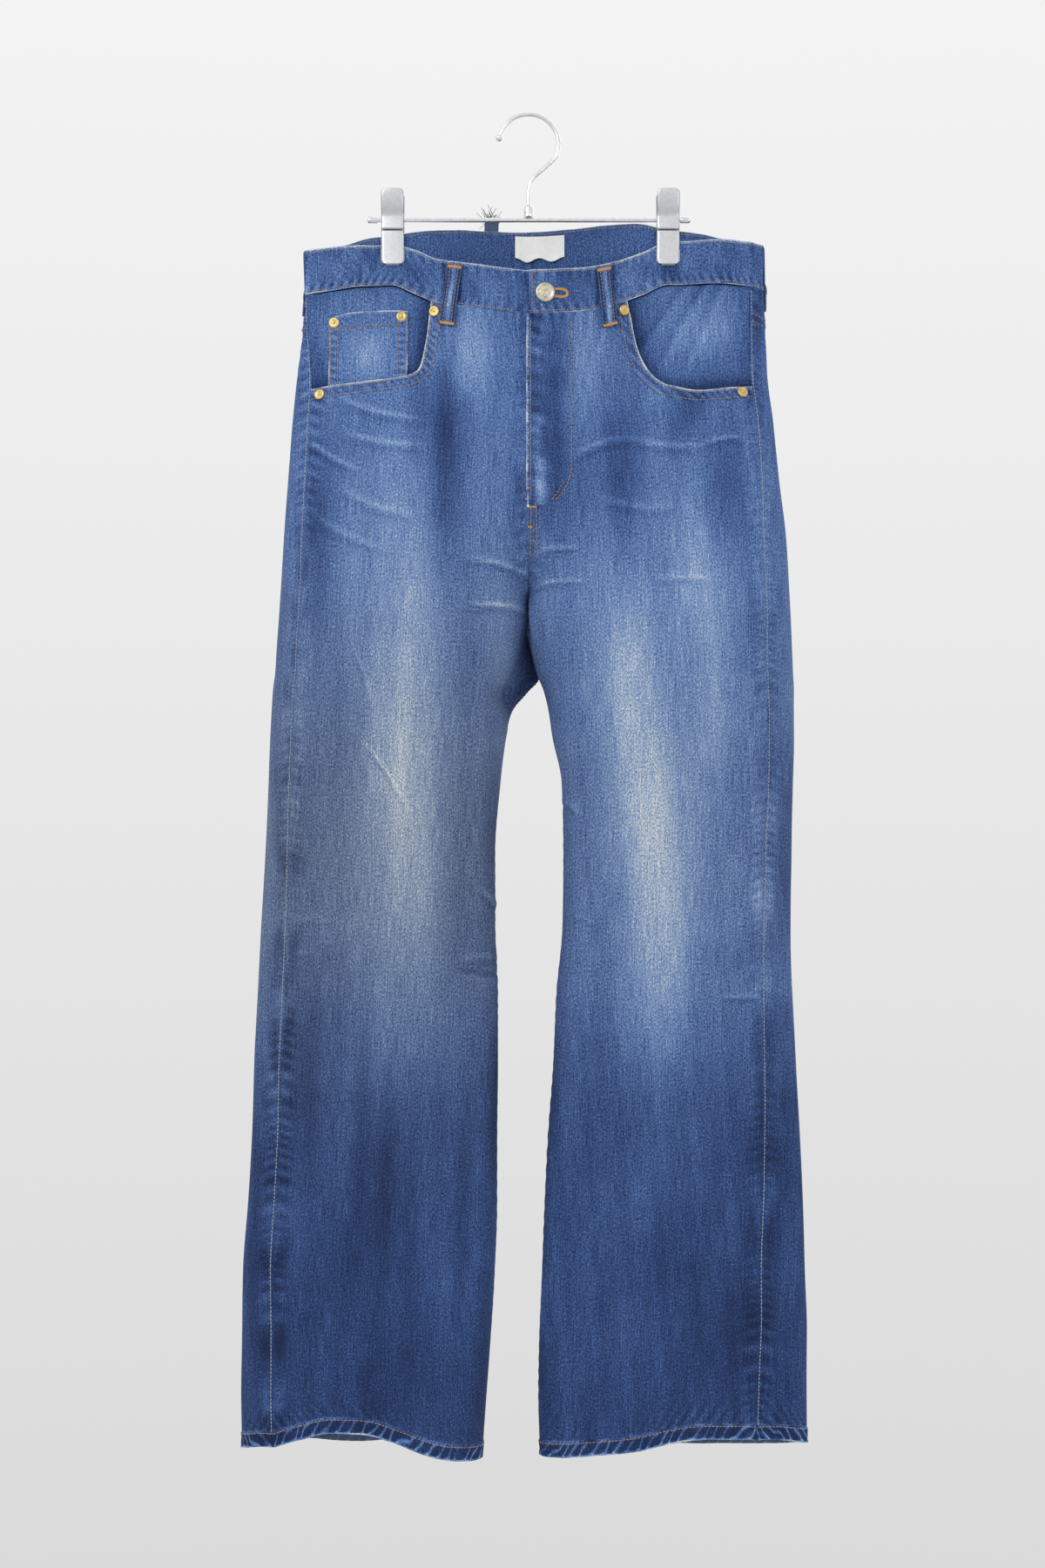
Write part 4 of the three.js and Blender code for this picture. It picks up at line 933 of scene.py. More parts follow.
def shell(name, outer, inner, uv, wear, material, inside=1.0):
    """A closed shell between two grids, with its faces turned out."""
    points = np.stack([outer, inner])
    quads = turned_out(points, shell_quads(*outer.shape[:2]))
    within = np.stack([0 * wear, inside + 0 * wear])
    worn = np.stack([wear, 0 * wear + INSIDE_WEAR])
    fields = {"wear": worn, "inside": within, "aged": age(points)}
    return mesh_object(name, points, quads, material, np.stack([uv, uv]), fields)


# %% [markdown]
# ## Shader maths
# A Wire stands for a node's output, so that a material reads like arithmetic.

# %% Shader maths
class Wire:
    """A node's output. Arithmetic on it adds Math nodes, and add() puts in any other node."""

    def __init__(self, tree, socket):
        self.tree = tree
        self.socket = socket

    @classmethod
    def add(cls, tree, kind, output, inputs, **settings):
        """A new node of that kind with its settings, fed by wires or set to plain values."""
        node = tree.nodes.new("ShaderNode" + kind)
        for key, value in settings.items():
            setattr(node, key, value)
        for key, value in inputs.items():
            if isinstance(value, Wire):
                tree.links.new(value.socket, node.inputs[key])
            else:
                node.inputs[key].default_value = value
        return cls(tree, node.outputs[output])

    def math(self, operation, a, b=0.0):
        return Wire.add(self.tree, "Math", 0, {0: a, 1: b}, operation=operation)

    def __add__(self, other):
        return self.math("ADD", self, other)

    __radd__ = __add__

    def __sub__(self, other):
        return self.math("SUBTRACT", self, other)

    def __rsub__(self, other):
        return self.math("SUBTRACT", other, self)

    def __mul__(self, other):
        return self.math("MULTIPLY", self, other)

    __rmul__ = __mul__

    def __truediv__(self, other):
        return self.math("DIVIDE", self, other)

    def __rtruediv__(self, other):
        return self.math("DIVIDE", other, self)

    def sine(self):
        return self.math("SINE", self)

    def into(self, shader, name):
        """Feeds one of the shader's own sockets."""
        self.tree.links.new(self.socket, shader.inputs[name])


def new_material(name, **constants):
    """A material, its tree and its shader, with constants set on the shader's own sockets."""
    made = bpy.data.materials.new(name)
    made.use_nodes = True
    shader = made.node_tree.nodes["Principled BSDF"]
    for key, value in constants.items():
        shader.inputs[key.replace("_", " ")].default_value = value
    return made, made.node_tree, shader


def noise(tree, place, size, detail=2.0):
    """Noise whose grains are size = (across, along, up) millimetres."""
    scale = tuple(1 / (side * MM) for side in size)
    mapped = Wire.add(tree, "Mapping", "Vector", {"Vector": place, "Scale": scale})
    return Wire.add(tree, "TexNoise", "Fac", {"Vector": mapped, "Scale": 1.0, "Detail": detail})


def ramp(tree, value, stops):
    """A colour ramp through (position, colour) stops."""
    node = tree.nodes.new("ShaderNodeValToRGB")
    elements = node.color_ramp.elements
    while len(elements) < len(stops):
        elements.new(0.5)
    for element, (position, color) in zip(elements, stops):
        element.position = position
        element.color = (*color, 1)
    tree.links.new(value.socket, node.inputs["Fac"])
    return Wire(tree, node.outputs["Color"])


def blended(tree, share, a, b):
    """Two colours mixed by a share."""
    inputs = {0: share, 6: a, 7: b}
    return Wire.add(tree, "Mix", 2, inputs, data_type="RGBA")


def opaque(color, share=1.0):
    """A colour with its alpha, darkened to a share."""
    return (*(share * part for part in color), 1)


def surface(shader, color, roughness, height=None, strength=0.5, distance=0.1):
    """Feeds a shader its colour, its roughness and, from a height, its bump in millimetres."""
    color.into(shader, "Base Color")
    roughness.into(shader, "Roughness")
    if height is not None:
        bump = {"Height": height, "Strength": strength, "Distance": distance * MM}
        Wire.add(height.tree, "Bump", "Normal", bump).into(shader, "Normal")


# %% [markdown]
# ## Denim and thread
# Denim has one ramp of indigo from unworn to white, and a greyer one for cloth that has aged.
# Wear, with some painted shade in it, moves a place along the ramp, and the yarns' own noise
# moves it a little further.

# %% Cloth materials
INDIGO = [
    (0.00, (0.011, 0.021, 0.066)),
    (0.18, (0.029, 0.060, 0.175)),
    (0.36, (0.064, 0.126, 0.320)),
    (0.55, (0.132, 0.232, 0.470)),
    (0.76, (0.270, 0.372, 0.560)),
    (1.00, (0.660, 0.690, 0.680)),
]
AGED = [
    (0.00, (0.018, 0.026, 0.060)),
    (0.18, (0.044, 0.062, 0.122)),
    (0.36, (0.086, 0.120, 0.212)),
    (0.55, (0.150, 0.198, 0.302)),
    (0.76, (0.276, 0.345, 0.450)),
    (1.00, (0.600, 0.620, 0.600)),
]
INSIDE_COLOR = (0.085, 0.115, 0.175, 1)


def hem_rope(tree, place, axis, along):
    """Wear of the turned hem: slanting puckers with worn crests, and a worn lower edge.

    The cloth's own UV gives the distance from the side seam and the height, so the pattern
    is sin(2 pi (u + slant v) / pitch + noise), kept to the heights of the hem."""
    top = (HEM_Z + HEM_DEPTH) * MM
    drift = noise(tree, place, (16, 60, 1), 1.0)
    turn = 2 * math.pi / (HEM_PITCH * MM)
    wave = (axis * turn + along * (HEM_SLANT * turn) + drift * 14.0).sine()
    within = Wire.add(tree, "MapRange", 0, {0: along, 1: top + 0.4 * MM, 2: top - 1.6 * MM})
    edge = {0: along, 1: (HEM_Z + 3.2) * MM, 2: (HEM_Z + 0.3) * MM}
    edge = Wire.add(tree, "MapRange", 0, edge)
    share = noise(tree, place, (24, 60, 1), 1.0)
    crest = wave.math("MAXIMUM", wave, 0.0)
    return within * (crest * crest * (share * 0.75) - 0.07) + edge * (wave * 0.16 + 0.24)


def denim_material(name):
    """Twill of dyed warp and pale weft. Wear with some painted shade, grain and slubs shift it along
    one ramp.
    """
    constants = {"Sheen_Weight": 0.03, "Sheen_Roughness": 0.5, "Specular_IOR_Level": 0.12}
    made, tree, shader = new_material(name, **constants)
    place = Wire.add(tree, "UVMap", "UV", {}, uv_map="cloth")
    wear = Wire.add(tree, "Attribute", "Fac", {}, attribute_name="wear")
    inside = Wire.add(tree, "Attribute", "Fac", {}, attribute_name="inside")
    slub = noise(tree, place, (0.9, 26, 1))
    grain = noise(tree, place, (0.7, 1.6, 1))
    speck = noise(tree, place, (1.3, 2.2, 1), 1.0)
    axis = Wire.add(tree, "SeparateXYZ", "X", {"Vector": place})
    along = Wire.add(tree, "SeparateXYZ", "Y", {"Vector": place})
    turn = 2 * math.pi / (1.0 * MM)
    twill = (axis * (0.55 * turn) + along * (0.83 * turn)).sine()
    strength = Wire.add(tree, "MapRange", 0, {0: wear, 1: 0.08, 2: 0.42, 3: 0.62, 4: 1.0})
    level = wear + ((slub - 0.5) * 0.6 + (grain - 0.5) * 1.0 + (speck - 0.5) * 0.75) * strength
    rope = hem_rope(tree, place, axis, along)
    level = level + twill * 0.05 + rope
    aged = Wire.add(tree, "Attribute", "Fac", {}, attribute_name="aged")
    color = blended(tree, aged, ramp(tree, level, INDIGO), ramp(tree, level, AGED))
    color = blended(tree, inside * 0.8, color, INSIDE_COLOR)
    height = twill * 0.5 + grain * 1.2 + slub * 0.6 + rope * 7.0
    surface(shader, color, 0.82 + speck * 0.16, height, 0.5, 0.35)
    return made


def thread_material(name, color, worn):
    """Twisted sewing thread: two tones in fine slanting bands."""
    made, tree, shader = new_material(name, Sheen_Weight=0.2)
    place = Wire.add(tree, "TexCoord", "Object", {})
    mottle = noise(tree, place, (6, 6, 6))
    fine = noise(tree, place, (0.5, 0.5, 0.3))
    tone = blended(tree, (mottle - 0.35) * 2.2, opaque(color), opaque(worn))
    dark = blended(tree, fine * 0.5, tone, opaque(color, 0.5))
    surface(shader, dark, 0.55 + fine * 0.3)
    return made


DENIM = denim_material("denim")
THREAD = thread_material("seam_thread", (0.30, 0.17, 0.075), (0.42, 0.36, 0.30))
PALE_THREAD = thread_material("outseam_thread", (0.27, 0.33, 0.43), (0.46, 0.48, 0.50))
ORANGE_THREAD = thread_material("tack_thread", (0.62, 0.27, 0.05), (0.60, 0.38, 0.16))
print("materials:", [m.name for m in bpy.data.materials])

# %% [markdown]
# ## Panels
# Each front ends above in its pocket mouth, so its grid is stretched from that edge down to
# straight rows. The yokes and backs have a slanting seam between them. Panels share their
# edges' points, so the seams are closed.

# %% Panels
COLUMNS = 116
EDGE_CROWDING = 0.3
ROW_STEP = 3.5
HEM_ROWS = 12
FRONT_STRAIGHT_Z = -330
SCOOP_POINTS = {
    RIGHT: [(-85, -150), (-87, -176), (-91, -205), (-96, -226), (-108, -233), (-143, -238),
            (-185, -243), (-225, -247)],
    LEFT: [(84, -150), (90, -180), (96, -208), (106, -229), (122, -241), (150, -246),
           (189, -242), (225, -238)],
}
SCOOP_SHARE = 0.55
SCOOP_BAND = 10.5


def crowded(count):
    """Shares from 0 to 1 that lie closer at both ends: t - k sin(2 pi t) / (2 pi)."""
    t = np.linspace(0, 1, count + 1)
    return t - EDGE_CROWDING * np.sin(2 * np.pi * t) / (2 * np.pi)


def down_to_hem(top, rows):
    """Section heights from a top edge to the hem, with close rows on the turned hem."""
    low = HEM_Z + HEM_DEPTH + 2
    share = np.linspace(0, 1, rows + 1)[:, None]
    hem = np.linspace(low, HEM_Z, HEM_ROWS + 1)[1:, None]
    return np.vstack([mix(top, low, share), hem + 0 * top])


def scoop_line(side, count, inset=0.0):
    """x and z along a pocket mouth, moved inset millimetres into the front."""
    points = np.array(SCOOP_POINTS[side], dtype=float)
    step = np.hypot(*np.diff(points, axis=0).T)
    length = np.concatenate([[0], np.cumsum(step)])
    at = np.linspace(0, length[-1], count)
    x, z = curve(length, points[:, 0], at), curve(length, points[:, 1], at)
    run = np.stack([np.gradient(x), np.gradient(z)])
    run = run / np.hypot(*run)
    return x + side * run[1] * inset, z - side * run[0] * inset


def scoop_distance(side, x, height):
    """How far each point is from the pocket mouth's edge."""
    line_x, line_z = scoop_line(side, 160)
    apart = np.full(x.shape, 1e6)
    for px, pz in zip(line_x, line_z):
        apart = np.minimum(apart, (x - px) ** 2 + (height - pz) ** 2)
    return np.sqrt(apart)


def scoop_places(side, inset=0.0):
    """q and z along the pocket mouth, from the waist seam to the side seam."""
    x, height = scoop_line(side, 240, inset)
    q, z = locate(side, FRONT, x, height)
    keep = (z < WAIST_Z - 0.01) & (q < 0.9995)
    q, z = q[keep], z[keep]
    start, end = np.array([q[0], WAIST_Z]), np.array([1.0, z[-1]])
    return np.vstack([start, np.stack([q, z], axis=1), end])


def front_grid(side):
    """q and z of a front's grid: straight rows that bend up to the pocket mouth's edge."""
    edge = scoop_places(side)
    flat = edge * np.array([face_length(side, FRONT, -200), 1])
    length = np.concatenate([[0], np.cumsum(np.hypot(*np.diff(flat, axis=0).T))])
    straight = int(COLUMNS * (1 - SCOOP_SHARE))
    at = np.linspace(0, length[-1], COLUMNS - straight + 1)
    curved = np.stack([np.interp(at, length, edge[:, 0]), np.interp(at, length, edge[:, 1])])
    level = np.stack([np.linspace(0, edge[0, 0], straight + 1)[:-1], np.full(straight, WAIST_Z)])
    top = np.concatenate([level, curved], axis=1)
    columns_ = crowded(COLUMNS)
    upper = int((WAIST_Z - FRONT_STRAIGHT_Z) / ROW_STEP)
    share = np.linspace(0, 1, upper + 1)[:, None]
    q = mix(top[0], columns_, share)
    z = mix(top[1], FRONT_STRAIGHT_Z, share)
    rows = int((FRONT_STRAIGHT_Z - HEM_Z) / ROW_STEP)
    low = down_to_hem(FRONT_STRAIGHT_Z + 0 * columns_, rows)[1:]
    return np.vstack([q, 0 * low + columns_]), np.vstack([z, low])


YOKE_SIDE_DROP = 32
YOKE_CENTRE_DROP = 76


def yoke_seam(q):
    """The section height of the seam under the yoke."""
    return WAIST_Z - mix(YOKE_SIDE_DROP, YOKE_CENTRE_DROP, q)


def yoke_grid(rows):
    """q and z of a yoke, from the waist seam down to the yoke seam."""
    q = crowded(COLUMNS)
    share = np.linspace(0, 1, rows + 1)[:, None]
    return q + 0 * share, mix(WAIST_Z, yoke_seam(q), share)


def flat_place(side, face, q, z):
    """The place on the flat cloth in millimetres: across from the side seam, and down."""
    length = face_length(side, face, z)
    across = (1 - q) * length if face == FRONT else q * length
    return np.stack([side * across + 500 * face, z + 0 * across], axis=-1)


def lay(side, face, q, z, lift, wall, extra=None):
    """Outer and inner grids of cloth on the skin, its UVs and its wear."""
    point, out, relief, wear = dress(side, face, q, z)
    lift = lift + (0 if extra is None else extra)
    outer = point + out * (relief + lift)[..., None]
    hem = smooth((HEM_Z + HEM_DEPTH + 0.7 - z) / 1.4)
    inner = point + out * (0.7 * relief + lift - wall - 0.6 * hem)[..., None]
    for layer in (outer, inner):
        middle = fork_middle(z)
        kept = middle + side * np.maximum(0, side * (layer[..., 0] - middle))
        clamped = (z > CROTCH_Z) | ((z > FORK_LOW_Z) & (layer[..., 1] < 0))
        layer[..., 0] = np.where(clamped, kept, layer[..., 0])
    return outer, inner, flat_place(side, face, q, z), wear


def panel_piece(name, node, side, face, q, z, extra=None, more_wear=0.0):
    """A panel's shell, which stands for its solid."""
    outer, inner, uv, wear = lay(side, face, q, z, 0.0, WALL, extra)
    return fit(shell(name, outer, inner, uv, wear + more_wear, DENIM), node)


def mouth_extra(side, q, z):
    """Relief and wear of a pocket mouth: a turned edge, puckers and a white worn rim."""
    x, height = np.moveaxis(skin(side, FRONT, q, z)[..., [0, 2]], -1, 0)
    apart = scoop_distance(side, x, height)
    wave = puckers(x + height, 9, 120 + side)
    within = smooth((SCOOP_BAND + 1 - apart) / 2)
    groove = bell((apart - SCOOP_BAND) / 1.2)
    relief = within * (0.45 + 0.35 * wave) - 0.3 * groove
    wear = 0.14 * within * wave + 0.55 * bell(apart / 1.1) - 0.05 * within
    near = smooth((WAIST_Z - z) / 10)
    return relief * near, wear


panels = {}
for side, name in SIDES:
    q, z = front_grid(side)
    extra, more = mouth_extra(side, q, z)
    panels["front_" + name] = panel_piece(
        "front_panel_" + name, "front_" + name, side, FRONT, q, z, extra, more
    )
    q = crowded(COLUMNS)
    z = down_to_hem(yoke_seam(q), int((WAIST_Z - HEM_Z) / ROW_STEP) - 18)
    q = q + 0 * z
    panels["back_" + name] = panel_piece("back_panel_" + name, "back_" + name, side, BACK, q, z)
    q, z = yoke_grid(20)
    ridge = 0.5 * smooth((z - yoke_seam(q)) / 1.5) * bell((z - yoke_seam(q)) / 12)
    panels["yoke_" + name] = panel_piece(
        "yoke_panel_" + name, "yoke_" + name, side, BACK, q, z, ridge
    )
print("panels:", {key: len(piece.data.polygons) for key, piece in panels.items()})

# %% [markdown]
# ## Waistband, pockets, fly and loops
# The waistband is one strip that runs from its over end at the centre front round the waist,
# and its under end dips behind it. The other small pieces are made from places on the skin
# and moved out, so they follow every fold of what they lie on.

# %% Waistband
OVER_END_X = 0.2
UNDER_END_LENGTH = 30
UNDER_LIFT = -(BAND_WALL + 0.4)
DIP_LENGTH = 12
BAND_ROWS = 16
BAND_STATIONS = 170
LOOP_MIDDLE = 70
LOOP_SHADE_HALF = 7.2
EDGE_ROUND = 1.4


def band_stations():
    """side, face, q and dip of the waistband's columns, all arrays of one length."""
    left, right = face_length(LEFT, FRONT, WAIST_Z), face_length(RIGHT, FRONT, WAIST_Z)
    even = np.linspace(0, 1, BAND_STATIONS, endpoint=False)
    end = DIP_LENGTH / right
    dip_q = np.linspace(end, 0.2 / right, 16)
    under_q = np.linspace(0.6, UNDER_END_LENGTH, 14) / left
    runs = [
        (LEFT, FRONT, mix(OVER_END_X / left, 1, even), 0 * even),
        (LEFT, BACK, even, 0 * even),
        (RIGHT, BACK, 1 - even, 0 * even),
        (RIGHT, FRONT, mix(1, end, even), 0 * even),
        (RIGHT, FRONT, dip_q, smooth((end - dip_q) / end)),
        (LEFT, FRONT, under_q, 1 + 0 * under_q),
    ]
    return runs


def band_relief(side, face, q, z, point):
    """Relief and wear of the waistband: wrinkles, slanting creases at the clips, puckers, and painted
    shade beside each front loop.
    """
    x = point[..., 0]
    level = z - WAIST_Z
    seed = 400 + 10 * side + face
    along = q * face_length(side, face, WAIST_Z)
    relief = 0.30 * waves(along / 9, level / 18, seed) + 0.2 * waves(along / 3.5, level / 10, seed + 1)
    low_wave = puckers(along + 0.4 * level, 8.5, seed + 2)
    relief = relief + 0.25 * low_wave * bell(level / 7)
    wear = 0.31 + 0.07 * waves(along / 9, level / 9, seed + 3) + 0.17 * low_wave * bell((level - 4) / 5)
    slope = np.where(face == FRONT, 1.0, 0.5)
    for centre, spacing in ((side * 150, 9.0), (side * 92, 11.0)):
        near = bell((x - centre) / 22)
        crease = np.maximum(0, np.sin((x * side - 0.9 * level) * 2 * np.pi / spacing)) ** 3
        wander = 0.5 + 0.5 * waves(along / 8, level / 12, seed + 4)
        relief = relief + 0.35 * slope * near * crease * wander
        wear = wear + 0.16 * slope * near * crease * wander
    top = BAND_HEIGHT - level
    wear = wear + 0.55 * bell(top / 1.1) + 0.08 * puckers(along, 9, seed + 5) * bell((top - 5) / 4)
    relief = relief * smooth(top / 6)
    wear = wear + 0.35 * bell(level / 0.8)
    if face == FRONT:
        # Painted shade: a dark line on the band along each side of a front belt loop.
        beside_loop = np.abs(along - LOOP_MIDDLE) - LOOP_SHADE_HALF
        wear = wear - 0.24 * bell(beside_loop / 1.8)
    return relief, wear


def band_piece():
    """The waistband's shell, with its top and bottom edges rounded."""
    rows = np.linspace(1, 0, BAND_ROWS + 1)[:, None]
    rows = 0.5 + 0.5 * np.sin(np.pi * (rows - 0.5))
    outer, inner, uv, wear = [], [], [], []
    travelled = 0.0
    for side, face, q, dip in band_stations():
        z = WAIST_Z + BAND_HEIGHT * rows + 0 * q
        q = q + 0 * z
        point, out = skin(side, face, q, z), outward(side, face, q, z)
        relief, worn = band_relief(side, face, q, z, point)
        level = z - WAIST_Z
        edge = np.minimum(level, BAND_HEIGHT - level)
        rounding = 0.8 * (1 - np.sqrt(np.clip(edge / EDGE_ROUND, 0, 1)))
        lift = BAND_OUT + dip * UNDER_LIFT + relief * (1 - dip)
        outer.append(point + out * (lift - rounding)[..., None])
        lift = BAND_OUT + dip * UNDER_LIFT - BAND_WALL + 0.5 * relief * (1 - dip)
        inner.append(point + out * (lift + rounding)[..., None])
        along = np.abs(q - q[:1, :1]) * face_length(side, face, WAIST_Z)
        uv.append(np.stack([travelled + along, level], axis=-1))
        travelled += along.max()
        wear.append(worn)
    joined = [np.concatenate(layers, axis=1) for layers in (outer, inner, uv)]
    return shell("waistband_cloth", *joined, np.concatenate(wear, axis=1), DENIM, inside=0.0)


waistband = fit(band_piece(), "waistband")
print("waistband:", len(waistband.data.polygons), "faces")

# %% [markdown]
# ## Facings and the coin pocket
# The facings lie a wall and a gap behind the fronts and rise to meet the side seam. The small
# pocket lies on the right one.

# %% Pocket facings and the coin pocket
POCKET_GAP = 0.85
LAY_GAP = 0.4
FACING_WALL = 1.0
FACING_LIFT = -(1.6 + POCKET_GAP)
FACING_SIDE_GAP = 0.2
SIDE_RISE = 6.0
SIDE_RISE_Z = -247
FACING_TOP_GAP = 0.6
FACING_INNER_X = 70
FACING_LOW_Z = -262
FACING_CREASE_Z = -165
# The facings' slanting creases: each one's x at FACING_CREASE_Z, and its slope.
FACING_CREASES = {RIGHT: (), LEFT: ((150, 0.55), (168, 0.45), (132, 0.7))}
COIN_WALL = 1.1
COIN_LIFT = FACING_LIFT + LAY_GAP
COIN = {"outer_x": -176, "inner_x": -106.5, "outer_top": -180.4, "inner_top": -173, "arch": 3}
COIN_LOW_Z = -247
COIN_WIDE = 69
COIN_TALL = 66


def patch(rows, columns_):
    """Shares from 0 to 1 down and across a grid."""
    return np.linspace(0, 1, rows + 1)[:, None], np.linspace(0, 1, columns_ + 1)[None, :]


def overlay(name, side, face, q, z, lift, wall, relief, wear, uv):
    """A denim shell on the skin that follows its relief."""
    point, out, ground, _ = dress(side, face, q, z)
    outer = point + out * (lift + ground + relief)[..., None]
    inner = point + out * (lift + ground - wall)[..., None]
    return shell(name, outer, inner, uv, wear, DENIM)


def facing_piece(side, name):
    """The denim seen inside a pocket mouth, a wall and a gap behind the front."""
    r, c = patch(54, 70)
    z = mix(WAIST_Z - FACING_TOP_GAP, FACING_LOW_Z, r) + 0 * c
    inner = locate(side, FRONT, side * FACING_INNER_X, z[:, :1] - 10)[0]
    outer = 1 - FACING_SIDE_GAP / face_length(side, FRONT, z[:, :1])
    q = mix(inner, outer, c)
    point = skin(side, FRONT, q, z)
    x, height = point[..., 0], point[..., 2]
    relief = 0.5 * waves(x / 14, height / 22, 600 + side) + 0.25 * waves(x / 5, height / 9, 610 + side)
    wear = 0.34 + 0.07 * waves(x / 16, height / 20, 620 + side)
    wear = wear + 0.18 * bell((x - side * 150) / 34) * bell((height + 195) / 28)
    for top_x, slope in FACING_CREASES[side]:
        across = (x - top_x - slope * (height - FACING_CREASE_Z)) / 4.0
        above = smooth((height + 236) / 30)
        relief = relief + 0.5 * bell(across) * above
        wear = wear + 0.07 * (bell(across) - bell(across + 1.8)) * above
    inside = scoop_distance(side, x, height)
    to_side = (1 - q) * face_length(side, FRONT, z)
    # Painted shadow under the pocket mouth's edge darkens the facing next to it; the facing is also a
    # little darker near the side seam.
    wear = wear - 0.24 * bell(inside / 9) - 0.10 * bell(to_side / 12)
    rise = bell(to_side / SIDE_RISE) * smooth((height - SIDE_RISE_Z) / 7)
    relief = relief - (FACING_LIFT + 0.2) * rise
    uv = np.stack([side * q * face_length(side, FRONT, z), z], axis=-1)
    return overlay("pocket_facing_cloth_" + name, side, FRONT, q, z, FACING_LIFT, FACING_WALL,
                   relief, wear, uv)


for side, name in SIDES:
    fit(facing_piece(side, name), "pocket_facing_" + name)


def coin_places(r, c, margin=0.0):
    """q and z on the coin pocket: r down from its arched top, c across from its inner edge."""
    x = mix(COIN["inner_x"] - margin, COIN["outer_x"] + margin, c)
    top = mix(COIN["inner_top"], COIN["outer_top"], c) + COIN["arch"] * np.sin(np.pi * c)
    return locate(RIGHT, FRONT, x, mix(top - margin, COIN_LOW_Z, r))


def coin_piece():
    """The small pocket on the right facing, worn pale in its middle and along its edges."""
    r, c = patch(44, 40)
    q, z = coin_places(r, c)
    point = skin(RIGHT, FRONT, q, z)
    x, height = point[..., 0], point[..., 2]
    across = np.minimum(c, 1 - c) * COIN_WIDE
    down = r * COIN_TALL + 0 * c
    edge = np.minimum(across, down)
    hem = smooth((12.5 - down) / 1.5)
    relief = 0.4 * waves(x / 12, height / 16, 640) + 0.35 * hem + 0.25 * smooth((9 - across) / 1.5)
    relief = relief - 0.5 * bell(edge / 0.8)
    wear = 0.38 + 0.26 * bell((across - 36) / 20) * bell((down - 34) / 22)
    wear = wear + 0.30 * bell(edge / 1.2) + 0.16 * hem * puckers(x, 7, 650)
    wear = wear + 0.12 * puckers(height, 7, 660) * bell((across - 5) / 4)
    uv = np.stack([c * COIN_WIDE + 0 * r, height], axis=-1)
    return overlay("coin_pocket_cloth", RIGHT, FRONT, q, z, COIN_LIFT + COIN_WALL, COIN_WALL,
                   relief, wear, uv)


coin_pocket = fit(coin_piece(), "coin_pocket")
print("facings and coin pocket:", len(coin_pocket.data.polygons), "faces")

# %% [markdown]
# ## Back pockets
# Each is a tapered patch with a pointed foot, a turned edge and a deeper hem at its mouth.

# %% Back pockets
POCKET_TOP_WIDTH = 152
POCKET_LOW_WIDTH = 126
POCKET_HEIGHT = 140
POCKET_POINT = 18
POCKET_WALL = 1.2
BACK_POCKETS = {RIGHT: (-113, -206, 3), LEFT: (118, -203, -3)}


def pocket_places(side, r, c, margin=0.0):
    """q and z on a back pocket, margin millimetres in from its edges."""
    x, top_z, tilt = BACK_POCKETS[side]
    across = (c - 0.5) * (1 - 2 * margin / POCKET_LOW_WIDTH)
    width = mix(POCKET_TOP_WIDTH, POCKET_LOW_WIDTH, r)
    point = POCKET_POINT * (1 - 2 * np.abs(across))
    span = POCKET_HEIGHT + point - 1.2 * margin
    height = top_z + tilt * 2 * across - margin * (1 - r) - r * span
    return locate(side, BACK, x + across * width, height)


def pocket_piece(side, name):
    """A back pocket: turned edges with puckers, a hem at the top and a worn middle."""
    r, c = patch(60, 60)
    q, z = pocket_places(side, r, c)
    height = skin(side, BACK, q, z)[..., 2]
    across = np.minimum(c, 1 - c) * mix(POCKET_TOP_WIDTH, POCKET_LOW_WIDTH, r)
    down = r * POCKET_HEIGHT + 0 * c
    up = (1 - r) * POCKET_HEIGHT + 0 * c
    edge = np.minimum(across, np.minimum(down, up))
    hem = smooth((15 - down) / 1.5)
    turned = smooth((8.5 - np.minimum(across, up)) / 1.5)
    wave = puckers(height + 3 * c, 8.5, 700 + side)
    relief = 0.7 * waves(c * 5, r * 5, 710 + side) * smooth(edge / 12)
    relief = relief + 0.35 * np.maximum(hem, turned) * (1 + 0.6 * wave) - 0.6 * bell(edge / 0.8)
    wear = 0.46 + 0.10 * waves(c * 4, r * 4, 720 + side) + 0.12 * bell((r - 0.5) / 0.3)
    wear = wear + 0.35 * bell(edge / 1.3) + 0.10 * wave * np.maximum(hem, turned)
    uv = np.stack([c * POCKET_TOP_WIDTH + 0 * r, height], axis=-1)
    return overlay("back_pocket_cloth_" + name, side, BACK, q, z, POCKET_GAP + POCKET_WALL,
                   POCKET_WALL + 0.6, relief, wear, uv)


for side, name in SIDES:
    back_pocket = fit(pocket_piece(side, name), "back_pocket_" + name)
print("back pockets:", len(back_pocket.data.polygons), "faces each")

# %% [markdown]
# ## The fly
# The flap's free edge stands proud at the centre front, where it is bent and worn in patches.

# %% Fly
FLY_WIDTH = 40
FLY_STRAIGHT_Z = -306
FLY_LOW_Z = -352
FLY_TIP = 4
FLY_OVERLAP = 1.6


def fly_width(height):
    """Width of the fly flap, which runs straight down and then curves in to its tip."""
    turn = np.clip((FLY_STRAIGHT_Z - height) / (FLY_STRAIGHT_Z - FLY_LOW_Z), 0, 1)
    return mix(FLY_TIP, FLY_WIDTH, np.sqrt(1 - turn * turn))


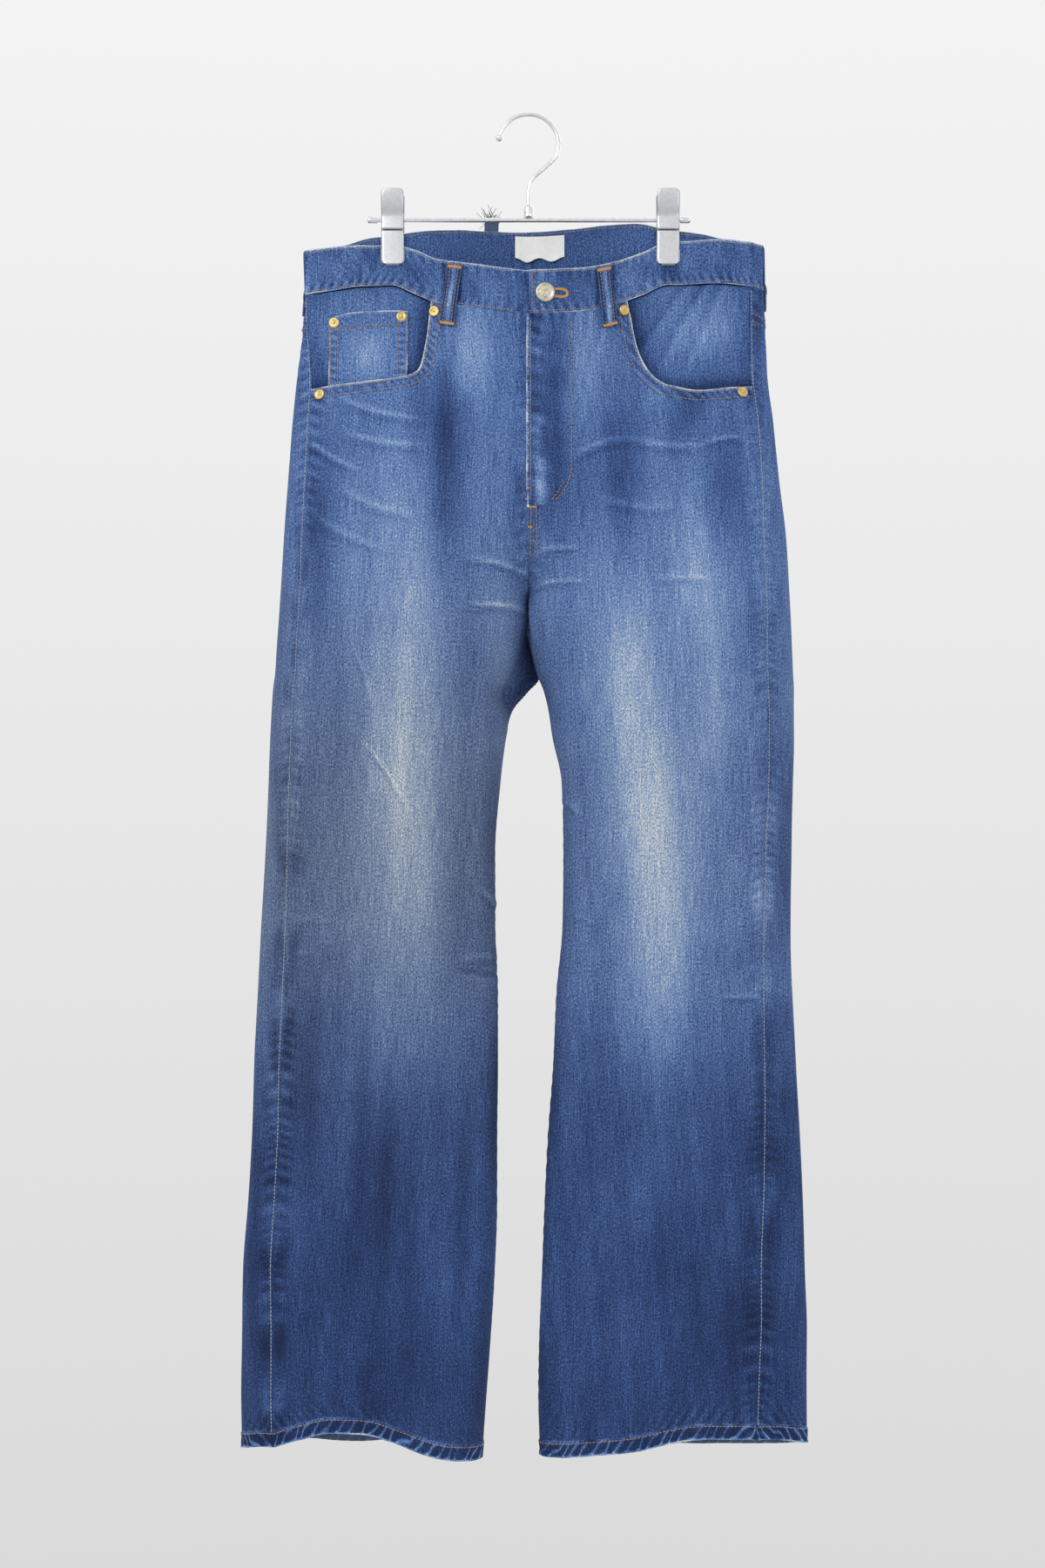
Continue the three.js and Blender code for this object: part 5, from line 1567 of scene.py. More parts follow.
def fly_piece():
    """The fly's outer layer, proud at its free edge and level with the front past its seam."""
    r, c = patch(84, 26)
    height = mix(WAIST_EDGES["front_seam"][7] - 1, FLY_LOW_Z, r) + 0 * c
    x = mix(-FLY_OVERLAP, fly_width(height), c)
    q, z = locate(LEFT, FRONT, np.maximum(0.3, x), height)
    point, out, ground, wear = dress(LEFT, FRONT, q, z)
    ease = smooth((fly_width(height) - x) / 9)
    wave = waves(height / 17, x / 16, 760) + 0.6 * waves(height / 6, x / 9, 761)
    bump = 0.6 * bell((x - 7) / 6) * (1 + 0.9 * wave) * ease
    lift = 0.12 + 1.35 * ease + bump * 0.8
    outer = point + out * (ground + lift)[..., None]
    inner = point + out * (ground + 0.02)[..., None]
    for layer in (outer, inner):
        layer[..., 0] = np.where(c == 0, x, layer[..., 0])
    worn_edge = np.clip(0.5 + 0.6 * waves(height / 12, 0, 765), 0.1, 1.2)
    wear = wear + 0.30 * bell((x - 9) / 6) * np.clip(0.5 + wave, 0, 2)
    wear = wear + 0.6 * worn_edge * bell((x + FLY_OVERLAP) / 1.2)
    # Painted shade along the centre front, just inside the fly's free edge; the fly is also a little
    # darker about 24 mm in.
    wear = wear - 0.10 * bell((x - 3.5) / 3) + 0.04 * wave * ease - 0.10 * bell((x - 24) / 9)
    return shell("fly_cloth", outer, inner, flat_place(LEFT, FRONT, q, z), wear, DENIM, 0.0)


fly = fit(fly_piece(), "fly")
print("fly:", len(fly.data.polygons), "faces")

# %% [markdown]
# ## Belt loops
# A loop is a strip that stands off the waistband between its two tacks. LOOPS gives each one's
# side and face, whether it is measured from the side seam, how far from it the loop lies at its
# top and foot, how far it stands over the band, and how far its foot stands out.

# %% Belt loops
LOOP_WIDTH = 13
LOOP_WALL = 1.6
LOOP_STAND = 1.4
LOOP_UNDER = 19
LOOPS = {
    "front_right": (RIGHT, FRONT, 0, 66, 74, -3, 1.1),
    "front_left": (LEFT, FRONT, 0, 67, 74, -3, 1.1),
    "side_right": (RIGHT, BACK, 1, 12, 13, -1, 0.8),
    "side_left": (LEFT, BACK, 1, 21, 23, -1, 0.8),
    "back_right": (RIGHT, BACK, 0, 33, 35, 13, 0.75),
    "back_left": (LEFT, BACK, 0, 25, 27, -1, 0.75),
}


def loop_surface(name, r, c, lift):
    """Points of a belt loop and the outward direction: r down its length, c across it."""
    side, face, from_side, top, low, over, foot = LOOPS[name]
    z = mix(WAIST_Z + BAND_HEIGHT + over, WAIST_Z - LOOP_UNDER, r) + 0 * c
    level = np.minimum(z, WAIST_Z + BAND_HEIGHT)
    share = (mix(top, low, r) + (c - 0.5) * LOOP_WIDTH) / face_length(side, face, WAIST_Z)
    q = 1 - share if face == BACK and not from_side else share
    stand = LOOP_STAND * np.sin(np.pi * np.clip(r, 0, 1)) ** 0.6
    step = BAND_OUT * smooth((z - WAIST_Z + 6) / 6)
    out = outward(side, face, q, level)
    point = skin(side, face, q, level) + out * (foot + step + stand + lift)[..., None]
    point[..., 2] += z - level
    return point, out


def loop_piece(name):
    """A belt loop with turned edges that stand up, pale along its middle and its edges, with a line of
    painted shade just inside each edge.
    """
    r, c = patch(36, 22)
    edge = (0.5 - np.abs(c - 0.5)) * LOOP_WIDTH + 0 * r
    crown = 0.35 * bell((edge - 2.6) / 1.6) - 0.5 * bell(edge / 0.7)
    wave = waves(r * 9, c * 3, 800 + len(name))
    outer, _ = loop_surface(name, r, c, LOOP_WALL + crown + 0.15 * wave)
    inner, _ = loop_surface(name, r, c, 0 * edge)
    wear = 0.24 + 0.40 * bell((edge - 6.5) / 2.0) * (1 + 0.4 * wave) + 0.16 * bell(edge / 0.5)
    # Painted shade: a dark line just inside each turned edge of the loop.
    wear = wear - 0.22 * bell((edge - 1.6) / 1.0)
    uv = np.stack([c * LOOP_WIDTH + 0 * r, r * 60 + 0 * c], axis=-1)
    return fit(shell("loop_cloth_" + name, outer, inner, uv, wear, DENIM), "loop_" + name)


loops = {name: loop_piece(name) for name in LOOPS}
print("loops:", len(loops))

# %% [markdown]
# ## Worn edges
# Where denim is folded over, the fold's crest wears white and its threads swell. A thin round
# fold runs along the pocket mouths, the fly, the waistband, the hems and the small pieces.

# %% Worn edges
FOLD_SIDES = 6
FOLD_STEP = 2.2
EDGE_RADIUS = 0.75
NEAR_END = 0.004


def unit(vectors):
    """The vectors at length one."""
    return vectors / np.linalg.norm(vectors, axis=-1, keepdims=True)


def line_reader(points):
    """A line's length along it at each point, and a reader of values at any such length."""
    step = np.linalg.norm(np.diff(points, axis=0), axis=1)
    length = np.concatenate([[0], np.cumsum(step)])

    def read(values, at):
        return np.stack([np.interp(at, length, values[:, i]) for i in range(3)], axis=1)

    return length[-1], read


def folded_edge(name, points, outs, radius, wear, seed):
    """A closed round fold along a line: circles in the plane of out and across."""
    length, read = line_reader(points)
    at = np.linspace(0, length, max(8, int(length / FOLD_STEP)))
    middle, out = read(points, at), unit(read(outs, at))
    along = unit(np.gradient(middle, axis=0))
    across = unit(np.cross(along, out))
    out = np.cross(across, along)
    turn = np.arange(FOLD_SIDES) * 2 * np.pi / FOLD_SIDES
    size = radius * (1 + 0.25 * waves(at / 5, 0, seed))
    taper = np.sqrt(np.sin(np.pi * np.linspace(NEAR_END, 1 - NEAR_END, len(at)))) ** 0.2
    ring = np.cos(turn)[:, None] * across[:, None] + np.sin(turn)[:, None] * out[:, None]
    made = middle[:, None] + (size * taper)[:, None, None] * ring
    index, quads = ring_quads(len(at), FOLD_SIDES)
    fan = np.arange(1, FOLD_SIDES - 1, 2)
    for ring, turned in ((index[0], 1), (index[-1], -1)):
        ends = np.stack([0 * fan, fan, fan + 1, (fan + 2) % FOLD_SIDES], axis=-1)[:, ::turned]
        quads = np.concatenate([quads, ring[ends]])
    worn = (wear + 0.22 * waves(at / 7, 0, seed + 1))[:, None] + 0 * turn
    uv = np.stack([at[:, None] + 0 * turn, radius * turn + 0 * at[:, None]], axis=-1)
    fields = {"wear": worn, "inside": 0 * worn, "aged": 0 * worn}
    fit(mesh_object(name, made, turned_out(made, quads), DENIM, uv, fields, sharp=1.5))


def on_cloth(side, face, q, z, lift):
    """Points at a lift above the dressed surface, and their outward directions."""
    point, out, relief, _ = dress(side, face, q, z)
    return point + out * (relief + lift)[..., None], out


for side, name in SIDES:
    q, z = scoop_places(side, 0.3)[1:-1].T
    folded_edge("mouth_fold_" + name, *on_cloth(side, FRONT, q, z, 0.1), EDGE_RADIUS, 0.92, 31)
    for face in (FRONT, BACK):
        q = np.linspace(NEAR_END, 1 - NEAR_END, 130)
        points, out = on_cloth(side, face, q, HEM_Z + 0.3 + 0 * q, -0.2)
        edge_name = f"hem_fold_{name}_{FACE_NAMES[face]}"
        folded_edge(edge_name, points, out, 0.7, 0.50, 33 + face)
    c = np.linspace(NEAR_END, 1 - NEAR_END, 60)
    for at, part in ((0 * c + 0.002, "top"), (0 * c + 0.998, "low")):
        q, z = pocket_places(side, at, c)
        points, out = on_cloth(side, BACK, q, z, POCKET_GAP + POCKET_WALL - 0.3)
        folded_edge(f"pocket_fold_{name}_{part}", points, out, 0.55, 0.72, 35)
height = np.linspace(-184, -338, 90)
q, z = locate(LEFT, FRONT, 0.4 + 0 * height, height)
points, out = on_cloth(LEFT, FRONT, q, z, 0.8)
points[:, 0] = -FLY_OVERLAP + 0.1
folded_edge("fly_fold", points, out, 0.7, 0.74, 41)
c = np.linspace(0.01, 0.99, 40)
coin_top = on_cloth(RIGHT, FRONT, *coin_places(0.004 + 0 * c, c), COIN_LIFT + COIN_WALL - 0.3)
folded_edge("coin_fold_top", *coin_top, 0.55, 0.74, 43)
for at, part in ((0.006, "inner"), (0.994, "outer")):
    q, z = coin_places(c, at + 0 * c)
    side_line = on_cloth(RIGHT, FRONT, q, z, COIN_LIFT + COIN_WALL - 0.3)
    folded_edge("coin_fold_" + part, *side_line, 0.45, 0.62, 45)
BAND_EDGES = {"top": (BAND_HEIGHT - 0.3, 0.0, 0.60, 0.72), "low": (0.2, 0.1, 0.50, 0.62)}
for part, (level, lift, radius, worn) in BAND_EDGES.items():
    points, outs = [], []
    for side, face, q, dip in band_stations()[:4]:
        z = WAIST_Z + level + 0 * q
        out = outward(side, face, q, z)
        inset = BAND_OUT - BAND_WALL / 2 if part == "top" else BAND_OUT - 0.4
        points.append(skin(side, face, q, z) + out * (inset + lift))
        outs.append(out)
    if part == "top":
        for i in range(4):
            points[i][:, 2] += 0.25
    folded_edge("band_fold_" + part, np.concatenate(points), np.concatenate(outs), radius, worn, 47)

# %% [markdown]
# ## Sewing
# A stitch is a small closed bead of thread, laid along a line on the cloth and half sunk in
# it. All the stitches of a group are one mesh: a template bead copied to every place by
# array arithmetic. Bar tacks are the same beads, packed side by side across a short bar.

# %% Stitches
STITCH_LENGTH = 2.5
STITCH_PITCH = 3.3
THREAD_RADIUS = 0.42
BEAD_SIDES = 5
BEAD_FLAT = 0.8
BEAD_RINGS = ((-1.0, 0.45), (-0.55, 1.0), (0.55, 1.0), (1.0, 0.45))


def bead():
    """Points and triangles of a closed bead: rings of BEAD_SIDES points and two end caps."""
    turn = np.arange(BEAD_SIDES) * 2 * np.pi / BEAD_SIDES
    rings = [
        np.stack([at + 0 * turn, width * np.cos(turn), width * np.sin(turn)], axis=1)
        for at, width in BEAD_RINGS
    ]
    points = np.concatenate(rings)
    here = np.arange(BEAD_SIDES)
    after = (here + 1) % BEAD_SIDES
    triangles = []
    for ring in range(len(BEAD_RINGS) - 1):
        a, b = ring * BEAD_SIDES, (ring + 1) * BEAD_SIDES
        triangles.append(np.stack([a + here, a + after, b + after], axis=1))
        triangles.append(np.stack([a + here, b + after, b + here], axis=1))
    last = (len(BEAD_RINGS) - 1) * BEAD_SIDES
    fan = here[1:-1]
    triangles.append(np.stack([0 * fan, fan + 1, fan], axis=1))
    triangles.append(np.stack([last + 0 * fan, last + fan, last + fan + 1], axis=1))
    return points, np.concatenate(triangles)


BEAD = bead()


def beads(middle, along, out, length, width):
    """One bead a place: middle + along x length / 2 + across y width + out z BEAD_FLAT width."""
    across = np.cross(out, along)
    shape = BEAD[0]
    made = middle[:, None] + along[:, None] * shape[None, :, :1] * length / 2
    made = made + across[:, None] * shape[None, :, 1:2] * width
    return made + out[:, None] * shape[None, :, 2:] * width * BEAD_FLAT


def along_line(points, outs, pitch):
    """Middles, directions and outward vectors every pitch along a line of points."""
    length, read = line_reader(points)
    count = max(1, int(length / pitch))
    at = (np.arange(count) + 0.5) * length / count
    middle = read(points, at)
    along = unit(read(points, at + 0.8) - read(points, at - 0.8))
    out = read(outs, at)
    out = unit(out - along * (out * along).sum(axis=1, keepdims=True))
    return middle, along, out


sewing = {}


def sew(group, points, outs, pitch=STITCH_PITCH, length=STITCH_LENGTH, width=THREAD_RADIUS):
    """Adds a row of stitches to a group, each a little uneven in its turn and length."""
    middle, along, out = along_line(points, outs, pitch)
    rng = np.random.default_rng(len(sewing.get(group, [])) + 1000)
    across = np.cross(out, along)
    along = unit(along + across * rng.normal(0, 0.07, (len(middle), 1)))
    length = length * (1 + rng.normal(0, 0.06, (len(middle), 1, 1)))
    sewing.setdefault(group, []).append(beads(middle, along, out, length, width))


def tack(group, middle, across, out, width, height, count):
    """A bar tack: count beads side by side over a bar, each crossing it."""
    across, out = unit(across), unit(out)
    along = unit(np.cross(across, out))
    at = (np.linspace(-0.5, 0.5, count) * width)[:, None]
    places = middle + across * at
    lines = np.broadcast_to(along, places.shape), np.broadcast_to(out, places.shape)
    sewing.setdefault(group, []).append(beads(places, *lines, height, width / count * 0.62))


# %% [markdown]
# ## Rows along the panels
# The seams, hems, yokes and pocket mouths are sewn in rows that keep their distance to an edge.

# %% Sewing the panels
def seam_row(group, side, face, inset_from, inset, z_from, z_to, lift=0.15):
    """A row down a panel, inset from its side seam or from its centre or inseam."""
    z = np.linspace(z_from, z_to, int(abs(z_to - z_from) / 2) + 2)
    share = inset / face_length(side, face, z)
    at_side = inset_from == "side"
    q = 1 - share if at_side == (face == FRONT) else share
    sew(group, *on_cloth(side, face, q, z, lift))


OUTSEAM_INSET = 1.6
INSEAM_ROWS = (1.8, 8.2)
for side, name in SIDES:
    group = "outseam_stitches_" + name
    seam_row(group, side, BACK, "side", OUTSEAM_INSET, WAIST_Z - 3, HEM_Z + HEM_DEPTH)
    for inset in INSEAM_ROWS:
        seam_row("inseam_stitches_" + name, side, BACK, "end", inset, -452, HEM_Z + HEM_DEPTH)
    for face in (FRONT, BACK):
        q = np.linspace(0.003, 0.997, 160)
        z = HEM_Z + HEM_DEPTH - 1.4 + 0 * q
        sew("hem_stitches_" + name, *on_cloth(side, face, q, z, 0.15))
    q = np.linspace(NEAR_END, 1 - NEAR_END, 140)
    for drop in (-2.0, -8.6):
        sew("yoke_stitches_" + name, *on_cloth(side, BACK, q, yoke_seam(q) - drop, 0.7))
    for inset in (2.2, SCOOP_BAND - 1.6):
        q, z = scoop_places(side, inset)[1:-1].T
        sew("mouth_stitches_" + name, *on_cloth(side, FRONT, q, z, 0.62 * (inset < 5) + 0.35))

for inset in (1.8, 8.2):
    seam_row("centre_back_stitches", LEFT, BACK, "end", inset, WAIST_Z - 3, CROTCH_Z - 6, 0.15)
FLY_ROW_X = (31.6, 37.0)
FLY_STITCH_TOP_Z = -182
for row_x in FLY_ROW_X:
    height = np.linspace(FLY_STITCH_TOP_Z, FLY_LOW_Z + 6, 160)
    turn = np.clip((FLY_STRAIGHT_Z - height) / (FLY_STRAIGHT_Z - FLY_LOW_Z), 0, 1)
    x = mix(5, row_x, np.sqrt(1 - turn**2.6))
    sew("fly_stitches", *on_cloth(LEFT, FRONT, *locate(LEFT, FRONT, x, height), 0.75))
height = np.linspace(-186, -346, 120)
x = 1.6 + 0 * height
sew("fly_stitches", *on_cloth(LEFT, FRONT, *locate(LEFT, FRONT, x, height), 1.9))
height = np.linspace(-352, -394, 40)
for x in (1.6, 6.6):
    sew("fly_stitches", *on_cloth(LEFT, FRONT, *locate(LEFT, FRONT, x + 0 * height, height), 0.2))

# %% [markdown]
# ## Rows on the small pieces
# The band is sewn along both edges, the loops and pockets round theirs. Bar tacks close the
# ends, and the buttonhole is a ring of close stitches.

# %% Sewing the band and the small pieces
BAND_ROW_INSET = 2.2


def band_row(level, inside=False):
    """A row of stitches round the waistband at a level above its seam."""
    for side, face, q, dip in band_stations()[:4]:
        z = WAIST_Z + level + 0 * q
        point, out = skin(side, face, q, z), outward(side, face, q, z)
        relief, _ = band_relief(side, face, q, z, point)
        lift = BAND_OUT - BAND_WALL + 0.5 * relief - 0.12 if inside else BAND_OUT + relief + 0.12
        sew("band_stitches", point + out * lift[..., None], -out if inside else out)


band_row(BAND_ROW_INSET)
band_row(BAND_HEIGHT - BAND_ROW_INSET)
band_row(BAND_HEIGHT - BAND_ROW_INSET, inside=True)

height = np.linspace(WAIST_Z + 3, LEVEL_TOP - 2.5, 20)
q = 3.0 / face_length(LEFT, FRONT, WAIST_Z) + 0 * height
out = outward(LEFT, FRONT, q, height)
sew("band_stitches", skin(LEFT, FRONT, q, height) + out * (BAND_OUT + 0.15), out)

for name in LOOPS:
    for c in (2.4 / LOOP_WIDTH, 1 - 2.4 / LOOP_WIDTH):
        r = np.linspace(0.05, 0.95, 40)
        points, out = loop_surface(name, r, c + 0 * r, LOOP_WALL + 0.35)
        sew("loop_stitches", points, out, 3.0, 2.2, 0.38)
    for r in (0.035, 0.965):
        ends, out = loop_surface(name, np.full(3, r), np.array([0.0, 0.5, 1.0]), LOOP_WALL + 0.3)
        tack("loop_tacks", ends[1], ends[2] - ends[0], out[1], LOOP_WIDTH - 0.6, 2.6, 15)

POCKET_ROWS = (1.8, 8.0)
POCKET_HEM_ROW = 13.0
POCKET_STITCH_LIFT = POCKET_GAP + POCKET_WALL + 0.5


def pocket_row(side, name, r, c, margin=0.0):
    """A row of stitches on a back pocket."""
    q, z = pocket_places(side, r, c, margin)
    sew("pocket_stitches_" + name, *on_cloth(side, BACK, q, z, POCKET_STITCH_LIFT))


for margin in POCKET_ROWS:
    for side, name in SIDES:
        r = np.linspace(0.0, 1, 70)
        for c in (0.0, 1.0):
            pocket_row(side, name, r, c + 0 * r, margin)
        c = np.linspace(0, 1, 90)
        pocket_row(side, name, 1 + 0 * c, c, margin)
for side, name in SIDES:
    c = np.linspace(0.01, 0.99, 80)
    pocket_row(side, name, POCKET_HEM_ROW / (POCKET_HEIGHT + POCKET_POINT) + 0 * c, c)
    for c in (0.03, 0.97):
        q, z = pocket_places(side, np.full(3, 0.035), np.array([c - 0.02, c, c + 0.02]))
        points, out = on_cloth(side, BACK, q, z, POCKET_STITCH_LIFT + 0.1)
        tack("loop_tacks", points[1], points[2] - points[0], out[1], 8, 2.4, 12)

COIN_ROWS = (1.8, 8.4)
COIN_HEM_ROW = 11.5
COIN_TOP_LIFT = COIN_LIFT + COIN_WALL + 0.45
r = np.linspace(0.02, 1, 50)
for c in [row / COIN_WIDE for row in COIN_ROWS] + [1 - row / COIN_WIDE for row in COIN_ROWS]:
    sew("coin_stitches", *on_cloth(RIGHT, FRONT, *coin_places(r, c + 0 * r), COIN_TOP_LIFT))
c = np.linspace(0.02, 0.98, 50)
coin_hem = coin_places(COIN_HEM_ROW / COIN_TALL + 0 * c, c)
sew("coin_stitches", *on_cloth(RIGHT, FRONT, *coin_hem, COIN_TOP_LIFT))

# The orange tacks of the fly, and the buttonhole beside the button
for x, height, width in ((3.6, -336, 10), (1.8, -345, 9), (1.8, -352, 9), (1.0, -369, 4)):
    q, z = locate(LEFT, FRONT, np.array([x - 1, x, x + 1]), height + np.zeros(3))
    points, out = on_cloth(LEFT, FRONT, q, z, 1.0 if height > -352 else 0.4)
    tack("fly_tacks", points[1], points[2] - points[0], out[1], width, 1.8, 14)
HOLE = {"from_x": 19.5, "to_x": 33.5, "z": -161.5, "half": 3.4}
turn = np.linspace(0, 2 * np.pi, 60)
hole_x = mix(HOLE["from_x"], HOLE["to_x"], 0.5 + 0.5 * np.cos(turn))
hole_z = HOLE["z"] + HOLE["half"] * np.sign(np.sin(turn)) * np.abs(np.sin(turn)) ** 0.5
q, z = locate(LEFT, FRONT, hole_x, hole_z)
out = outward(LEFT, FRONT, q, z)
middle, along, out = along_line(skin(LEFT, FRONT, q, z) + out * (BAND_OUT + 0.25), out, 0.62)
sewing.setdefault("fly_tacks", []).append(beads(middle, np.cross(out, along), out, 2.4, 0.36))

# %% [markdown]
# ## The threads
# Each group of stitches becomes one mesh, in the thread that its place is sewn with.

# %% The sewn groups as meshes
THREADS = {"outseam_": PALE_THREAD, "loop_tacks": ORANGE_THREAD, "fly_tacks": ORANGE_THREAD}
for group, rows in sewing.items():
    points = np.concatenate(rows)
    triangles = BEAD[1] + (np.arange(len(points)) * len(BEAD[0]))[:, None, None]
    thread = next((m for key, m in THREADS.items() if group.startswith(key)), THREAD)
    fit(mesh_object(group, points, triangles.reshape(-1, 3), thread))
    print(group, len(points), "stitches,", len(points) * len(BEAD[1]), "triangles")

# %% [markdown]
# ## Metal parts
# Rivets, button, bar and ferrule are turned profiles. The hook is a round wire along a smooth
# path that ends in a ball. Each clip jaw is a bent plate with a notch across it and a soft
# pad behind its lower lip.

# %% Metal materials
# Near-black grey of the clip plates: darker in the notch, and painted shade along their rolled rims and
# undersides.
DARK_NOTCH_AND_RIM_SHADE = (0.07, 0.075, 0.085)


def metal_material(name, color, tarnish, roughness, scratch=(0.6, 0.6, 0.6), grooved=False):
    """Worn metal: its colour drifts to a tarnish in soft clouds, with fine scratches.

    Where it is grooved, the mesh's own groove attribute darkens it: darker in a clip's notch, and
    painted shade along the rolled rims and on the underside that faces the cloth."""
    made, tree, shader = new_material(name, Metallic=0.95)
    place = Wire.add(tree, "TexCoord", "Object", {})
    cloud = noise(tree, place, (3, 3, 3), 3.0)
    fine = noise(tree, place, scratch, 4.0)
    share = Wire.add(tree, "MapRange", 0, {0: cloud, 1: 0.42, 2: 0.66})
    color = blended(tree, share, opaque(color), opaque(tarnish))
    if grooved:
        groove = Wire.add(tree, "Attribute", "Fac", {}, attribute_name="groove")
        # Painted shade on the clip plates' rolled rims and undersides, and a darker notch.
        color = blended(tree, groove, color, opaque(DARK_NOTCH_AND_RIM_SHADE))
    surface(shader, color, fine * 0.22 + (roughness - 0.08), fine, 0.25, 0.1)
    return made


BRASS = metal_material("rivet_brass", (0.66, 0.50, 0.22), (0.42, 0.30, 0.12), 0.38)
BUTTON = metal_material("button_metal", (0.66, 0.63, 0.55), (0.46, 0.38, 0.24), 0.36)
CHROME = metal_material("chrome", (0.80, 0.81, 0.83), (0.70, 0.71, 0.73), 0.16)
SATIN = metal_material("clip_metal", (0.66, 0.67, 0.70), (0.60, 0.61, 0.64), 0.34, (0.4, 0.4, 14), True)

# %% [markdown]
# ## Turned parts
# A profile of radii and heights is turned about an axis. The rivets and the button stand on the
# cloth along its outward direction.

# %% Turned parts
LATHE_STEPS = 48


def turned(name, profile, place, axis, material, steps=LATHE_STEPS):
    """A closed turned solid: rings of radius r at height h along an axis, capped at its ends."""
    axis = np.array(axis, dtype=float) / np.linalg.norm(axis)
    aside = np.cross(axis, (0.0, 0.0, 1.0) if abs(axis[2]) < 0.9 else (1.0, 0.0, 0.0))
    aside = aside / np.linalg.norm(aside)
    other = np.cross(axis, aside)
    turn = np.arange(steps) * 2 * np.pi / steps
    spoke = np.cos(turn)[:, None] * aside + np.sin(turn)[:, None] * other
    radius, height = np.array(profile, dtype=float).T
    points = radius[:, None, None] * spoke + height[:, None, None] * axis + np.array(place)
    index, quads = ring_quads(len(profile), steps)
    quads = np.roll(quads[:, ::-1], 1, axis=1)
    caps = index[0][::-1], index[-1]
    return mesh_object(name, points, quads, material, sharp=0.7, caps=caps)


RIVET_PROFILE = [
    (4.3, -0.2), (4.7, 0.1), (4.75, 0.6), (4.4, 1.1), (3.7, 1.35), (2.9, 1.3), (2.3, 1.05),
    (1.8, 0.95), (1.35, 1.05), (1.15, 1.45), (0.9, 1.7), (0.45, 1.82), (0.05, 1.85),
]
BUTTON_PROFILE = [
    (7.4, -0.4), (8.3, 0.2), (8.6, 1.0), (8.5, 1.9), (7.9, 2.6), (7.1, 2.85), (6.4, 2.75),
    (5.9, 2.35), (5.5, 2.15), (4.9, 2.2), (4.4, 2.55), (3.6, 2.8), (2.8, 2.7), (2.3, 2.45),
    (1.7, 2.4), (1.2, 2.65), (0.6, 2.8), (0.05, 2.82),
]
COIN_FACE = COIN_LIFT + COIN_WALL
RIVETS = {
    "rivet_mouth_right_top": (RIGHT, -83, -174, 1.0),
    "rivet_mouth_right_low": (RIGHT, -183, -249, 0.7),
    "rivet_coin_outer": (RIGHT, -171, -185, COIN_FACE + 0.7),
    "rivet_coin_inner": (RIGHT, -112, -178, COIN_FACE + 0.7),
    "rivet_mouth_left_top": (LEFT, 84, -173, 1.1),
    "rivet_mouth_left_low": (LEFT, 187, -247, 0.7),
}
BUTTON_PLACE = (14, -162)
BUTTON_LIFT = 1.3
for node, (side, x, height, lift) in RIVETS.items():
    q, z = locate(side, FRONT, x, height)
    out = outward(side, FRONT, q, z)
    place = skin(side, FRONT, q, z) + out * lift
    fit(turned(node + "_head", RIVET_PROFILE, place, out, BRASS, 32), node)
q, z = locate(LEFT, FRONT, *BUTTON_PLACE)
out = outward(LEFT, FRONT, q, z)
place = skin(LEFT, FRONT, q, z) + out * BUTTON_LIFT
button = turned("button_head", BUTTON_PROFILE, place, out, BUTTON)
fit(button, "waist_button")

BAR = {"z": -91.6, "radius": 2.0, "tip": 3.0, "tip_length": 9, "from_x": -142.5, "to_x": 143.2}
span = BAR["to_x"] - BAR["from_x"]
half_profile = [
    (0.3, 0.0), (1.6, 0.1), (2.5, 0.5), (2.95, 1.3), (3.0, 2.2), (3.0, BAR["tip_length"] - 0.4),
    (2.8, BAR["tip_length"]), (2.0, BAR["tip_length"] + 0.1),
]
bar_profile = half_profile + [(r, span - h) for r, h in half_profile[::-1]]
bar = turned("bar_rod", bar_profile, (BAR["from_x"], 0, BAR["z"]), (1, 0, 0), CHROME, 32)
fit(bar, "hanger_bar")
FERRULE_LOW = BAR["z"] + BAR["radius"] + 0.1
FERRULE_TALL = 10.9
FERRULE_PROFILE = [
    (0.5, 0.0), (3.4, 0.1), (4.1, 0.6), (4.2, 1.4), (4.2, 3.2), (3.7, 3.6), (3.7, 4.2), (4.2, 4.6),
    (4.2, 8.2), (3.9, 9.2), (3.2, 10.2), (2.4, 10.8), (0.5, FERRULE_TALL),
]
ferrule = turned("ferrule_collar", FERRULE_PROFILE, (0, 0, FERRULE_LOW), (0, 0, 1), CHROME, 40)
fit(ferrule, "hanger_ferrule")
print("turned parts:", len(RIVETS) + 3)

# %% [markdown]
# ## The hook
# The wire follows an arc, then a stem that curves down into the ferrule.

# %% The hook
WIRE_RADIUS = 1.9
HOOK_RADIUS = 26.4
HOOK_TIP_ANGLE = 168
BALL_RADIUS = 3.3
HOOK_STEM = [(24, -11), (13, -22), (3, -31), (0, -42)]


def tube(points, radius, sides):
    """Points round a path and its quads: circles square to the path, whose plane is y = 0."""
    along = unit(np.gradient(points, axis=0))
    across = np.array([0.0, 1.0, 0.0])
    other = np.cross(along, across)
    turn = np.arange(sides) * 2 * np.pi / sides
    ring = np.cos(turn)[:, None] * across + np.sin(turn)[:, None] * other[:, None]
    made = points[:, None] + radius * ring
    index, quads = ring_quads(len(points), sides)
    return made.reshape(-1, 3), quads, [index[0], index[-1][::-1]]


